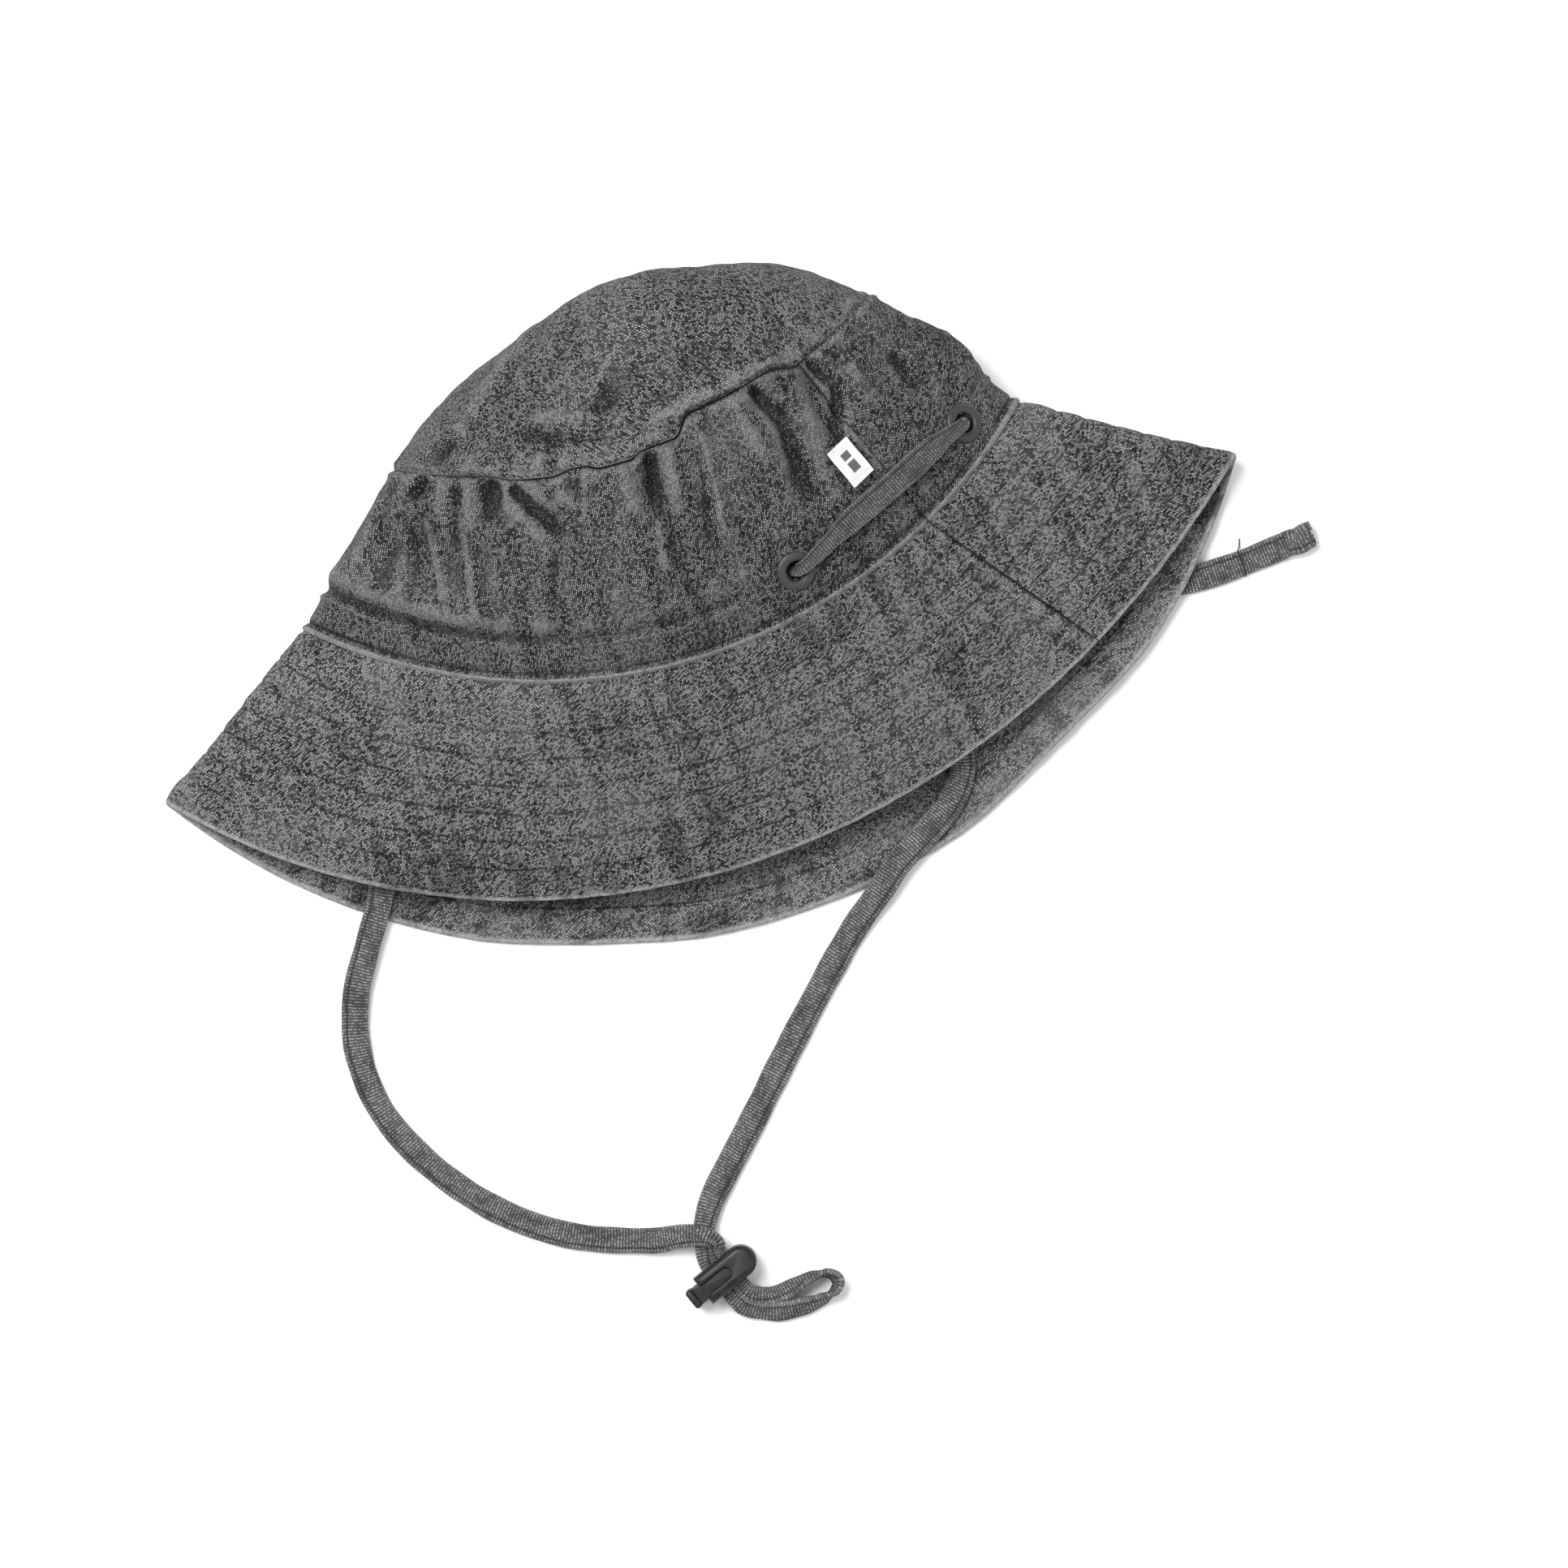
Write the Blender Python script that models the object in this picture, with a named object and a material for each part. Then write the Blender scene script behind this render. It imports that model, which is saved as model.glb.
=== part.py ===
"""A child's washed denim bucket hat with a threaded chin strap, lying on its side.

Frame: +Z is up from the surface that the hat lies on, +Y runs along the crown towards its
top, and +X runs along the folded length of the brim. The hat is half flattened. Its far
half lies on the surface, and its near half is folded down over it, so every ring of the
hat is a lens: two folds, at the right and at the left, join a near arc and a far arc.

All sizes are in millimetres, and the meshes are written in metres.
"""
import math

import bmesh
import bpy
from mathutils import Matrix, Vector

MM = 0.001

# Overall sizes of the hat as it lies
APEX_Y = 149.35            # centre of the arcs that the flattened hat follows
BASE_RADIUS = 165.0        # apex to the base seam, where crown and brim meet
CROWN_SIDE = 54.0          # width of the side crown at the folds
BRIM_WIDTH = 66.5          # width of the brim at the folds
BASE_HALF_ANGLE = 43.0     # degrees from the middle to a fold, at the base seam
BRIM_HALF_ANGLE = 47.2
TIP_HALF_ANGLE = 43.4
TIP_SHIFT = 2.3            # degrees that the tip leans to the right
CROWN_TOP = Vector((15.0, 98.7, 27.0))
LIE_HEIGHT = 50.0          # near base seam above the surface
CROWN_BULGE = 7.0          # extra height in the middle of the near side crown
FAR_LIFT = 6.0             # the far base seam lies on the strap below it
BRIM_FLAT_FROM = 0.55      # share of the far brim's width that slopes down to the surface
LIFT_FROM = 12.0           # degrees: from here the far brim rises over the strap below it
LIFT_FULL = 25.0

# Cloth layers
CLOTH = 0.8
LINING = 0.6
STIFFENER = 0.5
PLY_GAP = 0.3              # between two plies
BAND_GAP = 0.6             # between the lining and the inner band
SEAM_GAP = 0.4             # between two panels in a seam
TIP_GAP = 0.7              # between the tip and the side crown, where the cloth turns a corner
BAND_HEIGHT = 20.0         # inner band, above the base seam

# Side seams and eyelets, as angles round the hat from the right fold
SEAM_ANGLE = 51.0
FRONT_EYELET_ANGLE = 73.6
BACK_EYELET_ANGLE = 30.3
EYELET_HEIGHT = 11.5       # centre above the base seam
EYELET_BORE = 3.0          # inner radius
EYELET_WALL = 0.6
EYELET_FLANGE = 6.0        # outer radius
EYELET_DOME = 0.9
HOLE_CLEARANCE = 0.3       # cloth round the barrel
WASHER_GAP = 1.0           # a flat washer in a hollow surface
WASHER = 0.5

# Strap, a flat folded tube of cloth
STRAP_WIDTH = 8.0
STRAP_THICK = 2.4
STRAP_END_GAP = 0.4
BRIDGE_BOW = 5.0           # the bridge bows this far from the base seam
SHORT_STEP = 10.0          # route points closer than this have no point between them
TAIL_END = (10.0, 9.0, 4.4)    # folded and sewn end: length, width, height

# Label in the side seam
LABEL_LENGTH = 13.0
LABEL_WIDTH = 8.5
LABEL_THICK = 0.9
LABEL_HEIGHT = 24.0        # its lower end above the base seam
LABEL_STANDS = 4.0         # distance from the seam line to the label

# Cord lock, in its own frame: x along the button's travel, y along the strap
LOCK_CENTRE = Vector((-53.2, -194.9, 6.25))
LOCK_TURN = 21.0           # degrees from +X to the lock's x
LOCK_OPEN_END = -8.2
LOCK_LENGTH = 19.4
LOCK_WIDTH = 9.6
LOCK_HEIGHT = 12.5
LOCK_WALL = 1.6
LOCK_ROOF = 1.2
LOCK_WINDOW = (4.2, 2.6)   # window in the roof: its width, and the x of its round end
LOCK_EDGE = 2.0            # rounding of the housing's edges
LOCK_SLIDE = 3.0           # the lock's travel along the straight stretch of strap
BUTTON_TRAVEL = 2.0
BUTTON_CLEARANCE = 0.4
BUTTON_PAD = 2.4
BUTTON_PAD_WIDTH = 6.2
BUTTON_PAD_EDGE = 0.9
PASSAGE_WALL = 0.9         # button wall beyond the passage
STOP_GAP = 0.3
SQUEEZE = 0.5              # size of the strap inside an eyelet
LOCK_SQUEEZE = 0.56        # size of the strap inside the lock
STRAND_SPACING = 4.8       # middle to middle of the two strands in the lock
STRAND_CLEARANCE = 0.4
SPRING_LENGTH = 3.6
SPRING_RADIUS = 1.5        # to the middle of the wire
SPRING_WIRE = 0.22
SPRING_TURNS = 3.5
SPRING_CLEARANCE = 0.5

# Mesh density
LONG_ARC_STEPS = 14        # from a side seam to the further fold
SHORT_ARC_STEPS = 8
BRIM_STEPS = 5
CROWN_STEPS = 5
TIP_STEPS = 5
ROUND_STEPS = 24
PROBE = 0.01               # step of the finite differences behind the normals

# Strap routes: x, y, z, degrees of twist from standing on edge, share of full size
CHIN_ROUTE = (
    (35.0, -5.0, 38.0, 90, 0.6), (40.0, -13.0, 27.0, 90, 0.9),
    (47.0, -25.0, 14.5, 90, 1), (54.0, -40.0, 8.0, 90, 1), (61.0, -56.0, 6.2, 90, 1),
    (63.0, -70.0, 5.8, 90, 1), (56.0, -80.5, 5.0, 90, 1), (45.5, -87.5, 4.6, 90, 1),
    (35.3, -93.2, 4.6, 90, 1), (27.0, -99.8, 4.4, 90, 1), (15.3, -108.8, 1.7, 90, 1),
    (-0.6, -123.5, 1.4, 90, 1), (-16.4, -139.0, 1.4, 90, 1), (-31.8, -154.6, 1.5, 90, 1),
    (-44.5, -167.0, 1.8, 90, 1), (-50.5, -173.3, 2.3, 90, 0.95),
    (-54.6, -179.5, 3.4, 90, 0.8), (-56.8, -185.0, 5.2, 90, 0.62),
    "lower in", "lower mid", "lower out",
    (-50.2, -206.6, 5.4, 60, 0.7), (-46.2, -208.9, 4.4, 25, 0.85), (-40.5, -210.9, 4.2, 0, 1),
    (-34.0, -212.3, 4.2, 0, 1), (-27.8, -212.6, 4.2, 0, 1), (-22.9, -210.9, 4.2, 0, 1),
    (-21.3, -207.6, 4.2, 0, 1), (-23.5, -204.4, 4.2, 0, 1), (-29.0, -203.9, 4.2, 0, 1),
    (-35.5, -205.2, 4.3, 0, 1), (-40.6, -205.6, 4.7, 20, 0.85), (-44.8, -204.4, 5.5, 55, 0.7),
    "upper out", "upper mid", "upper in",
    (-52.4, -184.9, 7.7, 90, 0.65), (-56.0, -181.8, 8.3, 90, 0.8), (-62.5, -180.0, 6.0, 90, 0.9),
    (-72.5, -178.3, 2.7, 90, 1),
    (-93.9, -169.7, 1.4, 90, 1), (-112.7, -155.4, 1.4, 90, 1), (-127.5, -136.5, 1.4, 90, 1),
    (-136.3, -117.0, 1.4, 90, 1), (-137.8, -98.0, 1.6, 90, 1), (-133.0, -81.0, 3.2, 90, 1),
    (-124.5, -67.0, 4.3, 90, 1), (-115.8, -53.0, 4.3, 90, 1), (-109.0, -33.0, 4.9, 90, 1),
    (-103.5, -10.0, 8.6, 90, 1), (-99.0, 10.0, 12.5, 90, 0.85),
)
TAIL_NEAR_ROUTE = (
    (93.0, 25.0, 23.0, 90, 0.6), (91.5, 21.0, 17.5, 90, 0.9), (85.0, 13.5, 12.0, 90, 1),
    (74.0, 6.0, 10.6, 90, 1), (61.0, 2.0, 10.2, 90, 1), (48.0, 3.0, 10.2, 90, 1),
)
TAIL_FAR_ROUTE = (
    (-91.0, 21.0, 1.7, 90, 0.7), (-82.0, 11.5, 1.4, 90, 1), (-66.0, 0.5, 1.4, 90, 1),
    (-47.0, -8.5, 1.4, 90, 1), (-25.0, -14.5, 1.4, 90, 1), (0.0, -17.0, 1.4, 90, 1),
    (25.0, -16.0, 1.4, 90, 1), (50.0, -11.5, 1.4, 90, 1), (74.0, -7.5, 1.4, 90, 1),
    (95.0, -10.5, 1.4, 90, 1), (112.0, -21.0, 1.4, 90, 1), (126.0, -32.0, 1.4, 90, 1),
    (140.0, -38.8, 1.4, 90, 1), (156.0, -39.6, 1.4, 90, 1), (174.5, -38.4, 1.4, 90, 1),
)


class Ring:
    """One ring of the hat: an arc about the apex, folded at both ends."""

    def __init__(self, half, shift, ends, near, far, fold_z, fold_r, top_z, far_z,
                 skew=0.0, lift=0.0):
        self.half, self.shift = half, shift
        self.ends, self.near, self.far = ends, near, far
        self.fold_z, self.fold_r = fold_z, fold_r
        self.top_z, self.far_z = top_z, far_z
        self.skew, self.lift = skew, lift

    def turn(self, u):
        """0 at a fold, rising as a quarter circle to 1 where the fold has ended."""
        inset = self.ends * math.radians(self.half) * (1.0 - abs(math.cos(u)))
        left = 1.0 - min(inset / self.fold_r, 1.0)
        return math.sqrt(1.0 - left * left)

    def raised(self, c):
        """Height that the strap under the far brim adds towards the right fold."""
        share = (self.half * c - LIFT_FROM) / (LIFT_FULL - LIFT_FROM)
        share = min(max(share, 0.0), 1.0)
        return self.lift * share * share * (3.0 - 2.0 * share)

    def point(self, u):
        c, s = math.cos(u), math.sin(u)
        phi = math.radians(self.shift + self.half * c)
        middle = self.near if s > 0.0 else self.far
        radius = self.ends + (middle - self.ends) * s * s
        if s > 0.0:
            radius += self.skew * c * s * s
            crest = self.top_z - self.fold_z - self.fold_r
            z = self.fold_z + self.fold_r * self.turn(u) + crest * s * s
            z += self.raised(c) * (1.0 - s * s)
        else:
            z = self.fold_z - (self.fold_z - self.far_z) * self.turn(u) + self.raised(c)
        return Vector((radius * math.sin(phi), APEX_Y - radius * math.cos(phi), z))


BASE = Ring(BASE_HALF_ANGLE, -0.3, BASE_RADIUS, BASE_RADIUS + 1.0, BASE_RADIUS + 8.0,
            14.0, 10.0, LIE_HEIGHT, FAR_LIFT)
EDGE_RADIUS = BASE_RADIUS + BRIM_WIDTH
EDGE = Ring(BRIM_HALF_ANGLE, 0.0, EDGE_RADIUS, EDGE_RADIUS - 2.0, EDGE_RADIUS + 16.5,
            5.5, 5.5, 16.0, 0.0, skew=-6.0, lift=STRAP_THICK + 1.1)
TIP_RADIUS = BASE_RADIUS - CROWN_SIDE
TIP = Ring(TIP_HALF_ANGLE, TIP_SHIFT, TIP_RADIUS, TIP_RADIUS - 8.5, TIP_RADIUS + 2.0,
           22.0, 18.0, LIE_HEIGHT + 8.0, 0.0)
TIP_REACH = {"right": 26.0, "left": 46.5, "near": 31.0, "far": 24.0}


def brim_point(u, w):
    """The brim's outer face, from the base seam at w = 0 to the edge at w = 1."""
    a, b = BASE.point(u), EDGE.point(u)
    point = a.lerp(b, w)
    if math.sin(u) < 0.0:
        slope = max(0.0, 1.0 - w / BRIM_FLAT_FROM)
        settled = 1.0 - slope * slope
        share = w + (settled - w) * EDGE.turn(u)
        point.z = a.z + (b.z - a.z) * share
    return point


def crown_point(u, v):
    """The side crown's outer face, from the base seam at v = 0 to the tip seam at v = 1."""
    point = BASE.point(u).lerp(TIP.point(u), v)
    point.z += CROWN_BULGE * 4.0 * v * (1.0 - v) * max(math.sin(u), 0.0) ** 2
    return point


def tip_point(u, t):
    """The tip's outer face, from its seam at t = 0 to the top of the crown at t = 1."""
    c, s = math.cos(u), math.sin(u)
    across = TIP_REACH["right"] if c > 0.0 else TIP_REACH["left"]
    up = TIP_REACH["near"] if s > 0.0 else TIP_REACH["far"]
    guide = CROWN_TOP + Vector((across * c, 0.0, up * s))
    r = 1.0 - t
    return TIP.point(u) * r * r + guide * 2.0 * t * r + CROWN_TOP * t * t


def outward(surface, u, v):
    """Unit normal of a surface, away from the inside of the hat."""
    along = surface(u + PROBE, v) - surface(u - PROBE, v)
    step = PROBE if v < 0.5 else -PROBE
    rise = (surface(u, v + step) - surface(u, v)) / step
    if surface is brim_point:
        rise.negate()
    return rise.cross(along).normalized()


def sheet_point(surface, u, v, depth):
    """A point at a depth under a surface's outer face."""
    if surface is tip_point and v >= 1.0:
        return CROWN_TOP - Vector((0.0, depth, 0.0))
    return surface(u, v) - outward(surface, u, v) * depth


def lift_from_floor(point):
    point.z = max(point.z, 0.0)
    return point


def arc_angles(seam, fold, seam_after, gap):
    """Angles from one side seam over a fold to the next, closer together at the fold."""
    lead = fold - seam - gap
    tail = seam_after - fold - gap
    long_part = [fold - lead * (1.0 - k / LONG_ARC_STEPS) ** 1.5 for k in range(LONG_ARC_STEPS)]
    short_part = [fold + tail * (k / SHORT_ARC_STEPS) ** 1.5 for k in range(SHORT_ARC_STEPS + 1)]
    return long_part + short_part


HALF_TURN = math.pi
SEAM_U = math.radians(SEAM_ANGLE)
SEAM_GAP_U = 0.5 * SEAM_GAP / (TIP_RADIUS * math.radians(TIP_HALF_ANGLE) * math.sin(SEAM_U))
FRONT_ARC = arc_angles(SEAM_U, HALF_TURN, SEAM_U + HALF_TURN, SEAM_GAP_U)
BACK_ARC = [u + HALF_TURN for u in FRONT_ARC]
WHOLE_ARC = (arc_angles(SEAM_U, HALF_TURN, SEAM_U + HALF_TURN, 0.0)[:-1]
             + arc_angles(SEAM_U + HALF_TURN, 2 * HALF_TURN, SEAM_U + 2 * HALF_TURN, 0.0)[:-1])


def steps(first, last, count):
    return [first + (last - first) * k / count for k in range(count + 1)]


# ---------------------------------------------------------------- objects and materials

def material(name, colour, roughness, metallic=0.0):
    found = bpy.data.materials.get(name)
    if found:
        return found
    made = bpy.data.materials.new(name)
    made.use_nodes = True
    shader = made.node_tree.nodes["Principled BSDF"]
    shader.inputs["Base Color"].default_value = (*colour, 1.0)
    shader.inputs["Roughness"].default_value = roughness
    shader.inputs["Metallic"].default_value = metallic
    return made


def denim():
    return material("washed_denim", (0.115, 0.115, 0.12), 0.9)


def dark_denim():
    return material("denim_inside", (0.07, 0.07, 0.075), 0.9)


def lining_cloth():
    return material("lining_cotton", (0.05, 0.05, 0.055), 0.9)


def strap_cloth():
    return material("strap_rib", (0.13, 0.13, 0.13), 0.85)


def add_object(name, data, cloth):
    data.materials.append(cloth)
    made = bpy.data.objects.new(name, data)
    bpy.context.scene.collection.objects.link(made)
    return made


def mesh_object(name, bm, finish, matrix=Matrix(), smooth=True):
    """Turn a bmesh in millimetres into an object in metres, with its faces pointing out."""
    bmesh.ops.transform(bm, matrix=matrix, verts=bm.verts)
    bmesh.ops.scale(bm, vec=(MM, MM, MM), verts=bm.verts)
    bmesh.ops.recalc_face_normals(bm, faces=bm.faces)
    mesh = bpy.data.meshes.new(name)
    bm.to_mesh(mesh)
    bm.free()
    if smooth:
        mesh.shade_smooth()
        mesh.set_sharp_from_angle(angle=math.radians(40))
    return add_object(name, mesh, finish)


def as_cutter(made):
    made.hide_render = True
    made.display_type = "WIRE"
    return made


def cut(made, cutters):
    for cutter in cutters:
        modifier = made.modifiers.new(cutter.name, "BOOLEAN")
        modifier.operation = "DIFFERENCE"
        modifier.solver = "EXACT"
        modifier.object = cutter


# ---------------------------------------------------------------- cloth

def add_panel(name, surface, us, vs, outer, thick, finish, closed=False):
    """A panel of cloth: a grid over a surface, from a depth to a greater depth."""
    bm = bmesh.new()
    faces_of = []
    for depth in (outer, outer + thick):
        grid = [[bm.verts.new(lift_from_floor(sheet_point(surface, u, v, depth))) for v in vs]
                for u in us]
        faces_of.append(grid)
    top, bottom = faces_of
    count = len(us)
    for i in range(count if closed else count - 1):
        j = (i + 1) % count
        for k in range(len(vs) - 1):
            bm.faces.new((top[i][k], top[j][k], top[j][k + 1], top[i][k + 1]))
            bm.faces.new((bottom[i][k], bottom[i][k + 1], bottom[j][k + 1], bottom[j][k]))
        for k in (0, len(vs) - 1):
            bm.faces.new((top[i][k], bottom[i][k], bottom[j][k], top[j][k]))
    if not closed:
        for i in (0, count - 1):
            for k in range(len(vs) - 1):
                bm.faces.new((top[i][k], top[i][k + 1], bottom[i][k + 1], bottom[i][k]))
    return mesh_object(name, bm, finish)


def add_cap(name, ts, outer, thick, finish):
    """The tip or its lining: rings over the tip that end in one point at the top."""
    bm = bmesh.new()
    skins = []
    for depth in (outer, outer + thick):
        rings = [[bm.verts.new(lift_from_floor(sheet_point(tip_point, u, t, depth)))
                  for u in WHOLE_ARC] for t in ts[:-1]]
        skins.append((rings, bm.verts.new(sheet_point(tip_point, 0.0, 1.0, depth))))
    count = len(WHOLE_ARC)
    for rings, top in skins:
        for lower, upper in zip(rings, rings[1:]):
            for i in range(count):
                j = (i + 1) % count
                bm.faces.new((lower[i], lower[j], upper[j], upper[i]))
        for i in range(count):
            bm.faces.new((rings[-1][i], rings[-1][(i + 1) % count], top))
    rims = skins[0][0][0], skins[1][0][0]
    for i in range(count):
        j = (i + 1) % count
        bm.faces.new((rims[0][i], rims[0][j], rims[1][j], rims[1][i]))
    return mesh_object(name, bm, finish)


def tip_depth():
    """Rate at which the tip leaves its seam at the near middle, over t."""
    middle = TIP.point(HALF_TURN / 2)
    return 2.0 * (CROWN_TOP + Vector((0.0, 0.0, TIP_REACH["near"])) - middle).length


def side_height():
    """Length of the side crown over the near middle, from seam to seam."""
    quarter = HALF_TURN / 2
    return (crown_point(quarter, 1.0) - crown_point(quarter, 0.0)).length


def build_crown(cutters):
    depth_lining = CLOTH + PLY_GAP
    inset = SEAM_GAP / side_height()
    ts = steps(TIP_GAP / tip_depth(), 1.0, TIP_STEPS)
    add_cap("crown_tip", ts, 0.0, CLOTH, denim())
    add_cap("crown_tip_lining", ts, depth_lining, LINING, lining_cloth())
    vs = steps(inset, 1.0 - inset, CROWN_STEPS)
    for half, arc in (("front", FRONT_ARC), ("back", BACK_ARC)):
        holes = [cutters[side + half] for side in ("near_", "far_")]
        side = add_panel("crown_side_" + half, crown_point, arc, vs, 0.0, CLOTH, denim())
        inside = add_panel("crown_side_lining_" + half, crown_point, arc, vs,
                           depth_lining, LINING, lining_cloth())
        cut(side, holes)
        cut(inside, holes)
    depth_band = depth_lining + LINING + BAND_GAP
    band_vs = steps(inset, BAND_HEIGHT / side_height(), 2)
    band = add_panel("sweatband", crown_point, WHOLE_ARC, band_vs, depth_band, CLOTH,
                     dark_denim(), closed=True)
    cut(band, cutters.values())


def build_brim():
    inset = SEAM_GAP / BRIM_WIDTH
    ws = steps(inset, 1.0, BRIM_STEPS)
    depth_mid = CLOTH + PLY_GAP
    depth_under = depth_mid + STIFFENER + PLY_GAP
    for half, arc in (("front", FRONT_ARC), ("back", BACK_ARC)):
        add_panel("brim_upper_" + half, brim_point, arc, ws, 0.0, CLOTH, denim())
        add_panel("brim_interlining_" + half, brim_point, arc, ws, depth_mid, STIFFENER,
                  material("interlining", (0.6, 0.6, 0.58), 0.95))
        add_panel("brim_under_" + half, brim_point, arc, ws, depth_under, CLOTH, dark_denim())


# ---------------------------------------------------------------- eyelets

def eyelet_angles():
    """Angle of each eyelet. The far ones mirror the near ones about the front's middle."""
    mirror = 2 * SEAM_ANGLE + 180.0
    return {
        "near_front": math.radians(FRONT_EYELET_ANGLE),
        "near_back": math.radians(BACK_EYELET_ANGLE),
        "far_front": math.radians(mirror - FRONT_EYELET_ANGLE),
        "far_back": math.radians(mirror - BACK_EYELET_ANGLE),
    }


def surface_frame(surface, u, v):
    """A frame on a surface: x along the ring, z out of the hat."""
    z = outward(surface, u, v)
    along = surface(u + PROBE, v) - surface(u - PROBE, v)
    x = (along - z * along.dot(z)).normalized()
    y = z.cross(x)
    frame = Matrix((x, y, z)).transposed().to_4x4()
    frame.translation = surface(u, v)
    return frame


def eyelet_frame(u):
    return surface_frame(crown_point, u, EYELET_HEIGHT / side_height())


def turned(name, profile, finish, matrix):
    """A closed profile of (radius, height) points turned about its own z."""
    bm = bmesh.new()
    rings = []
    for k in range(ROUND_STEPS):
        a = 2 * HALF_TURN * k / ROUND_STEPS
        rings.append([bm.verts.new((r * math.cos(a), r * math.sin(a), z)) for r, z in profile])
    count = len(profile)
    for k in range(ROUND_STEPS):
        here, there = rings[k], rings[(k + 1) % ROUND_STEPS]
        for i in range(count):
            j = (i + 1) % count
            bm.faces.new((here[i], there[i], there[j], here[j]))
    return mesh_object(name, bm, finish, matrix)


def cloth_stack():
    return CLOTH + PLY_GAP + LINING + BAND_GAP + CLOTH


def barrel_radius():
    return EYELET_BORE + EYELET_WALL


def barrel_end():
    """Depth of the eyelet's rolled end: past the cloth and the washer."""
    return cloth_stack() + WASHER_GAP + WASHER + 2 * PLY_GAP + EYELET_WALL


def eyelet_cutters():
    cutters = {}
    for place, u in eyelet_angles().items():
        bm = bmesh.new()
        radius = barrel_radius() + HOLE_CLEARANCE
        bmesh.ops.create_cone(bm, cap_ends=True, segments=ROUND_STEPS, radius1=radius,
                              radius2=radius, depth=4 * cloth_stack())
        cutter = mesh_object("hole_" + place, bm, dark_denim(), eyelet_frame(u))
        cutters[place] = as_cutter(cutter)
    return cutters


def build_eyelets():
    paint = material("eyelet_paint", (0.03, 0.028, 0.026), 0.45, 0.6)
    steel = material("washer_steel", (0.5, 0.5, 0.5), 0.35, 1.0)
    bore, barrel = EYELET_BORE, barrel_radius()
    seat, end = PLY_GAP, barrel_end()
    middle = 0.5 * (bore + EYELET_FLANGE)
    profile = (
        (EYELET_FLANGE, seat), (EYELET_FLANGE - 0.4, seat + 0.6),
        (middle, seat + EYELET_DOME), (bore + 0.4, seat + 0.7), (bore, seat + 0.2),
        (bore, -end + 0.3), (bore + 0.3, -end), (barrel + 1.0, -end),
        (barrel + 1.0, -end + EYELET_WALL), (barrel, -end + EYELET_WALL), (barrel, seat),
    )
    washer_top = -(cloth_stack() + WASHER_GAP)
    hole = barrel + HOLE_CLEARANCE
    washer = ((EYELET_FLANGE, washer_top), (hole, washer_top),
              (hole, washer_top - WASHER), (EYELET_FLANGE, washer_top - WASHER))
    for place, u in eyelet_angles().items():
        frame = eyelet_frame(u)
        turned("eyelet_" + place, profile, paint, frame)
        turned("eyelet_washer_" + place, washer, steel, frame)


# ---------------------------------------------------------------- strap

def smooth_route(route):
    """Points on a smooth curve through a route's points, with twist and size between them."""
    points = [tuple(map(float, p)) for p in route]
    ends = [points[0]] + points + [points[-1]]
    curve = []
    for k in range(1, len(ends) - 2):
        a, b, c, d = ends[k - 1:k + 3]
        pieces = 2 if math.dist(b[:3], c[:3]) > SHORT_STEP else 1
        for i in range(pieces):
            t = i / pieces
            point = []
            for p0, p1, p2, p3 in zip(a, b, c, d):
                point.append(0.5 * (2 * p1 + (p2 - p0) * t
                                    + (2 * p0 - 5 * p1 + 4 * p2 - p3) * t * t
                                    + (3 * p1 - p0 - 3 * p2 + p3) * t ** 3))
            point[3:] = (b[3] + (c[3] - b[3]) * t, b[4] + (c[4] - b[4]) * t)
            curve.append(point)
    return curve + [list(points[-1])]


def strap_object(name, route):
    data = bpy.data.curves.new(name, "CURVE")
    data.dimensions = "3D"
    data.twist_mode = "Z_UP"
    data.fill_mode = "FULL"
    data.bevel_depth = 0.5 * STRAP_THICK * MM
    data.extrude = 0.5 * (STRAP_WIDTH - STRAP_THICK) * MM
    data.bevel_resolution = 2
    data.use_fill_caps = True
    spline = data.splines.new("POLY")
    curve = smooth_route(route)
    spline.points.add(len(curve) - 1)
    for point, (x, y, z, twist, size) in zip(spline.points, curve):
        point.co = (x * MM, y * MM, z * MM, 1.0)
        point.tilt = math.radians(twist)
        point.radius = size
    return add_object(name, data, strap_cloth())


def at(frame, x, y, z, twist=90, size=1.0):
    return (*(frame @ Vector((x, y, z))), twist, size)


def barrel_mouth(place):
    """Where a strap enters an eyelet from the inside of the hat."""
    frame = eyelet_frame(eyelet_angles()[place])
    return [at(frame, 0, 0, -barrel_end() - 0.6, 90, SQUEEZE)]


def strand_points(lock, x):
    """The squeezed strand through the lock, straight over the lock's own travel."""
    half = 0.5 * LOCK_WIDTH
    stations = {"in": half + 0.8, "mid": -2.0, "out": -half - LOCK_SLIDE - 0.5}
    return {name: at(lock, x, y, 0, 90, LOCK_SQUEEZE) for name, y in stations.items()}


def build_straps():
    lock = lock_frame()
    aside = 0.5 * STRAND_SPACING
    strands = {"upper": strand_points(lock, aside), "lower": strand_points(lock, -aside)}
    chin = []
    for stop in CHIN_ROUTE:
        if isinstance(stop, str):
            strand, station = stop.split()
            stop = strands[strand][station]
        chin.append(stop)
    strap_object("chin_strap", barrel_mouth("near_front") + chin + barrel_mouth("far_front"))
    strap_object("strap_tail_near", barrel_mouth("near_back") + list(TAIL_NEAR_ROUTE))
    far = list(TAIL_FAR_ROUTE)
    strap_object("strap_tail_far", out_of_eyelet("far_front", Vector(far[0][:3])) + far)
    strap_object("strap_bridge", bridge_route())
    build_tail_ends()


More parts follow.
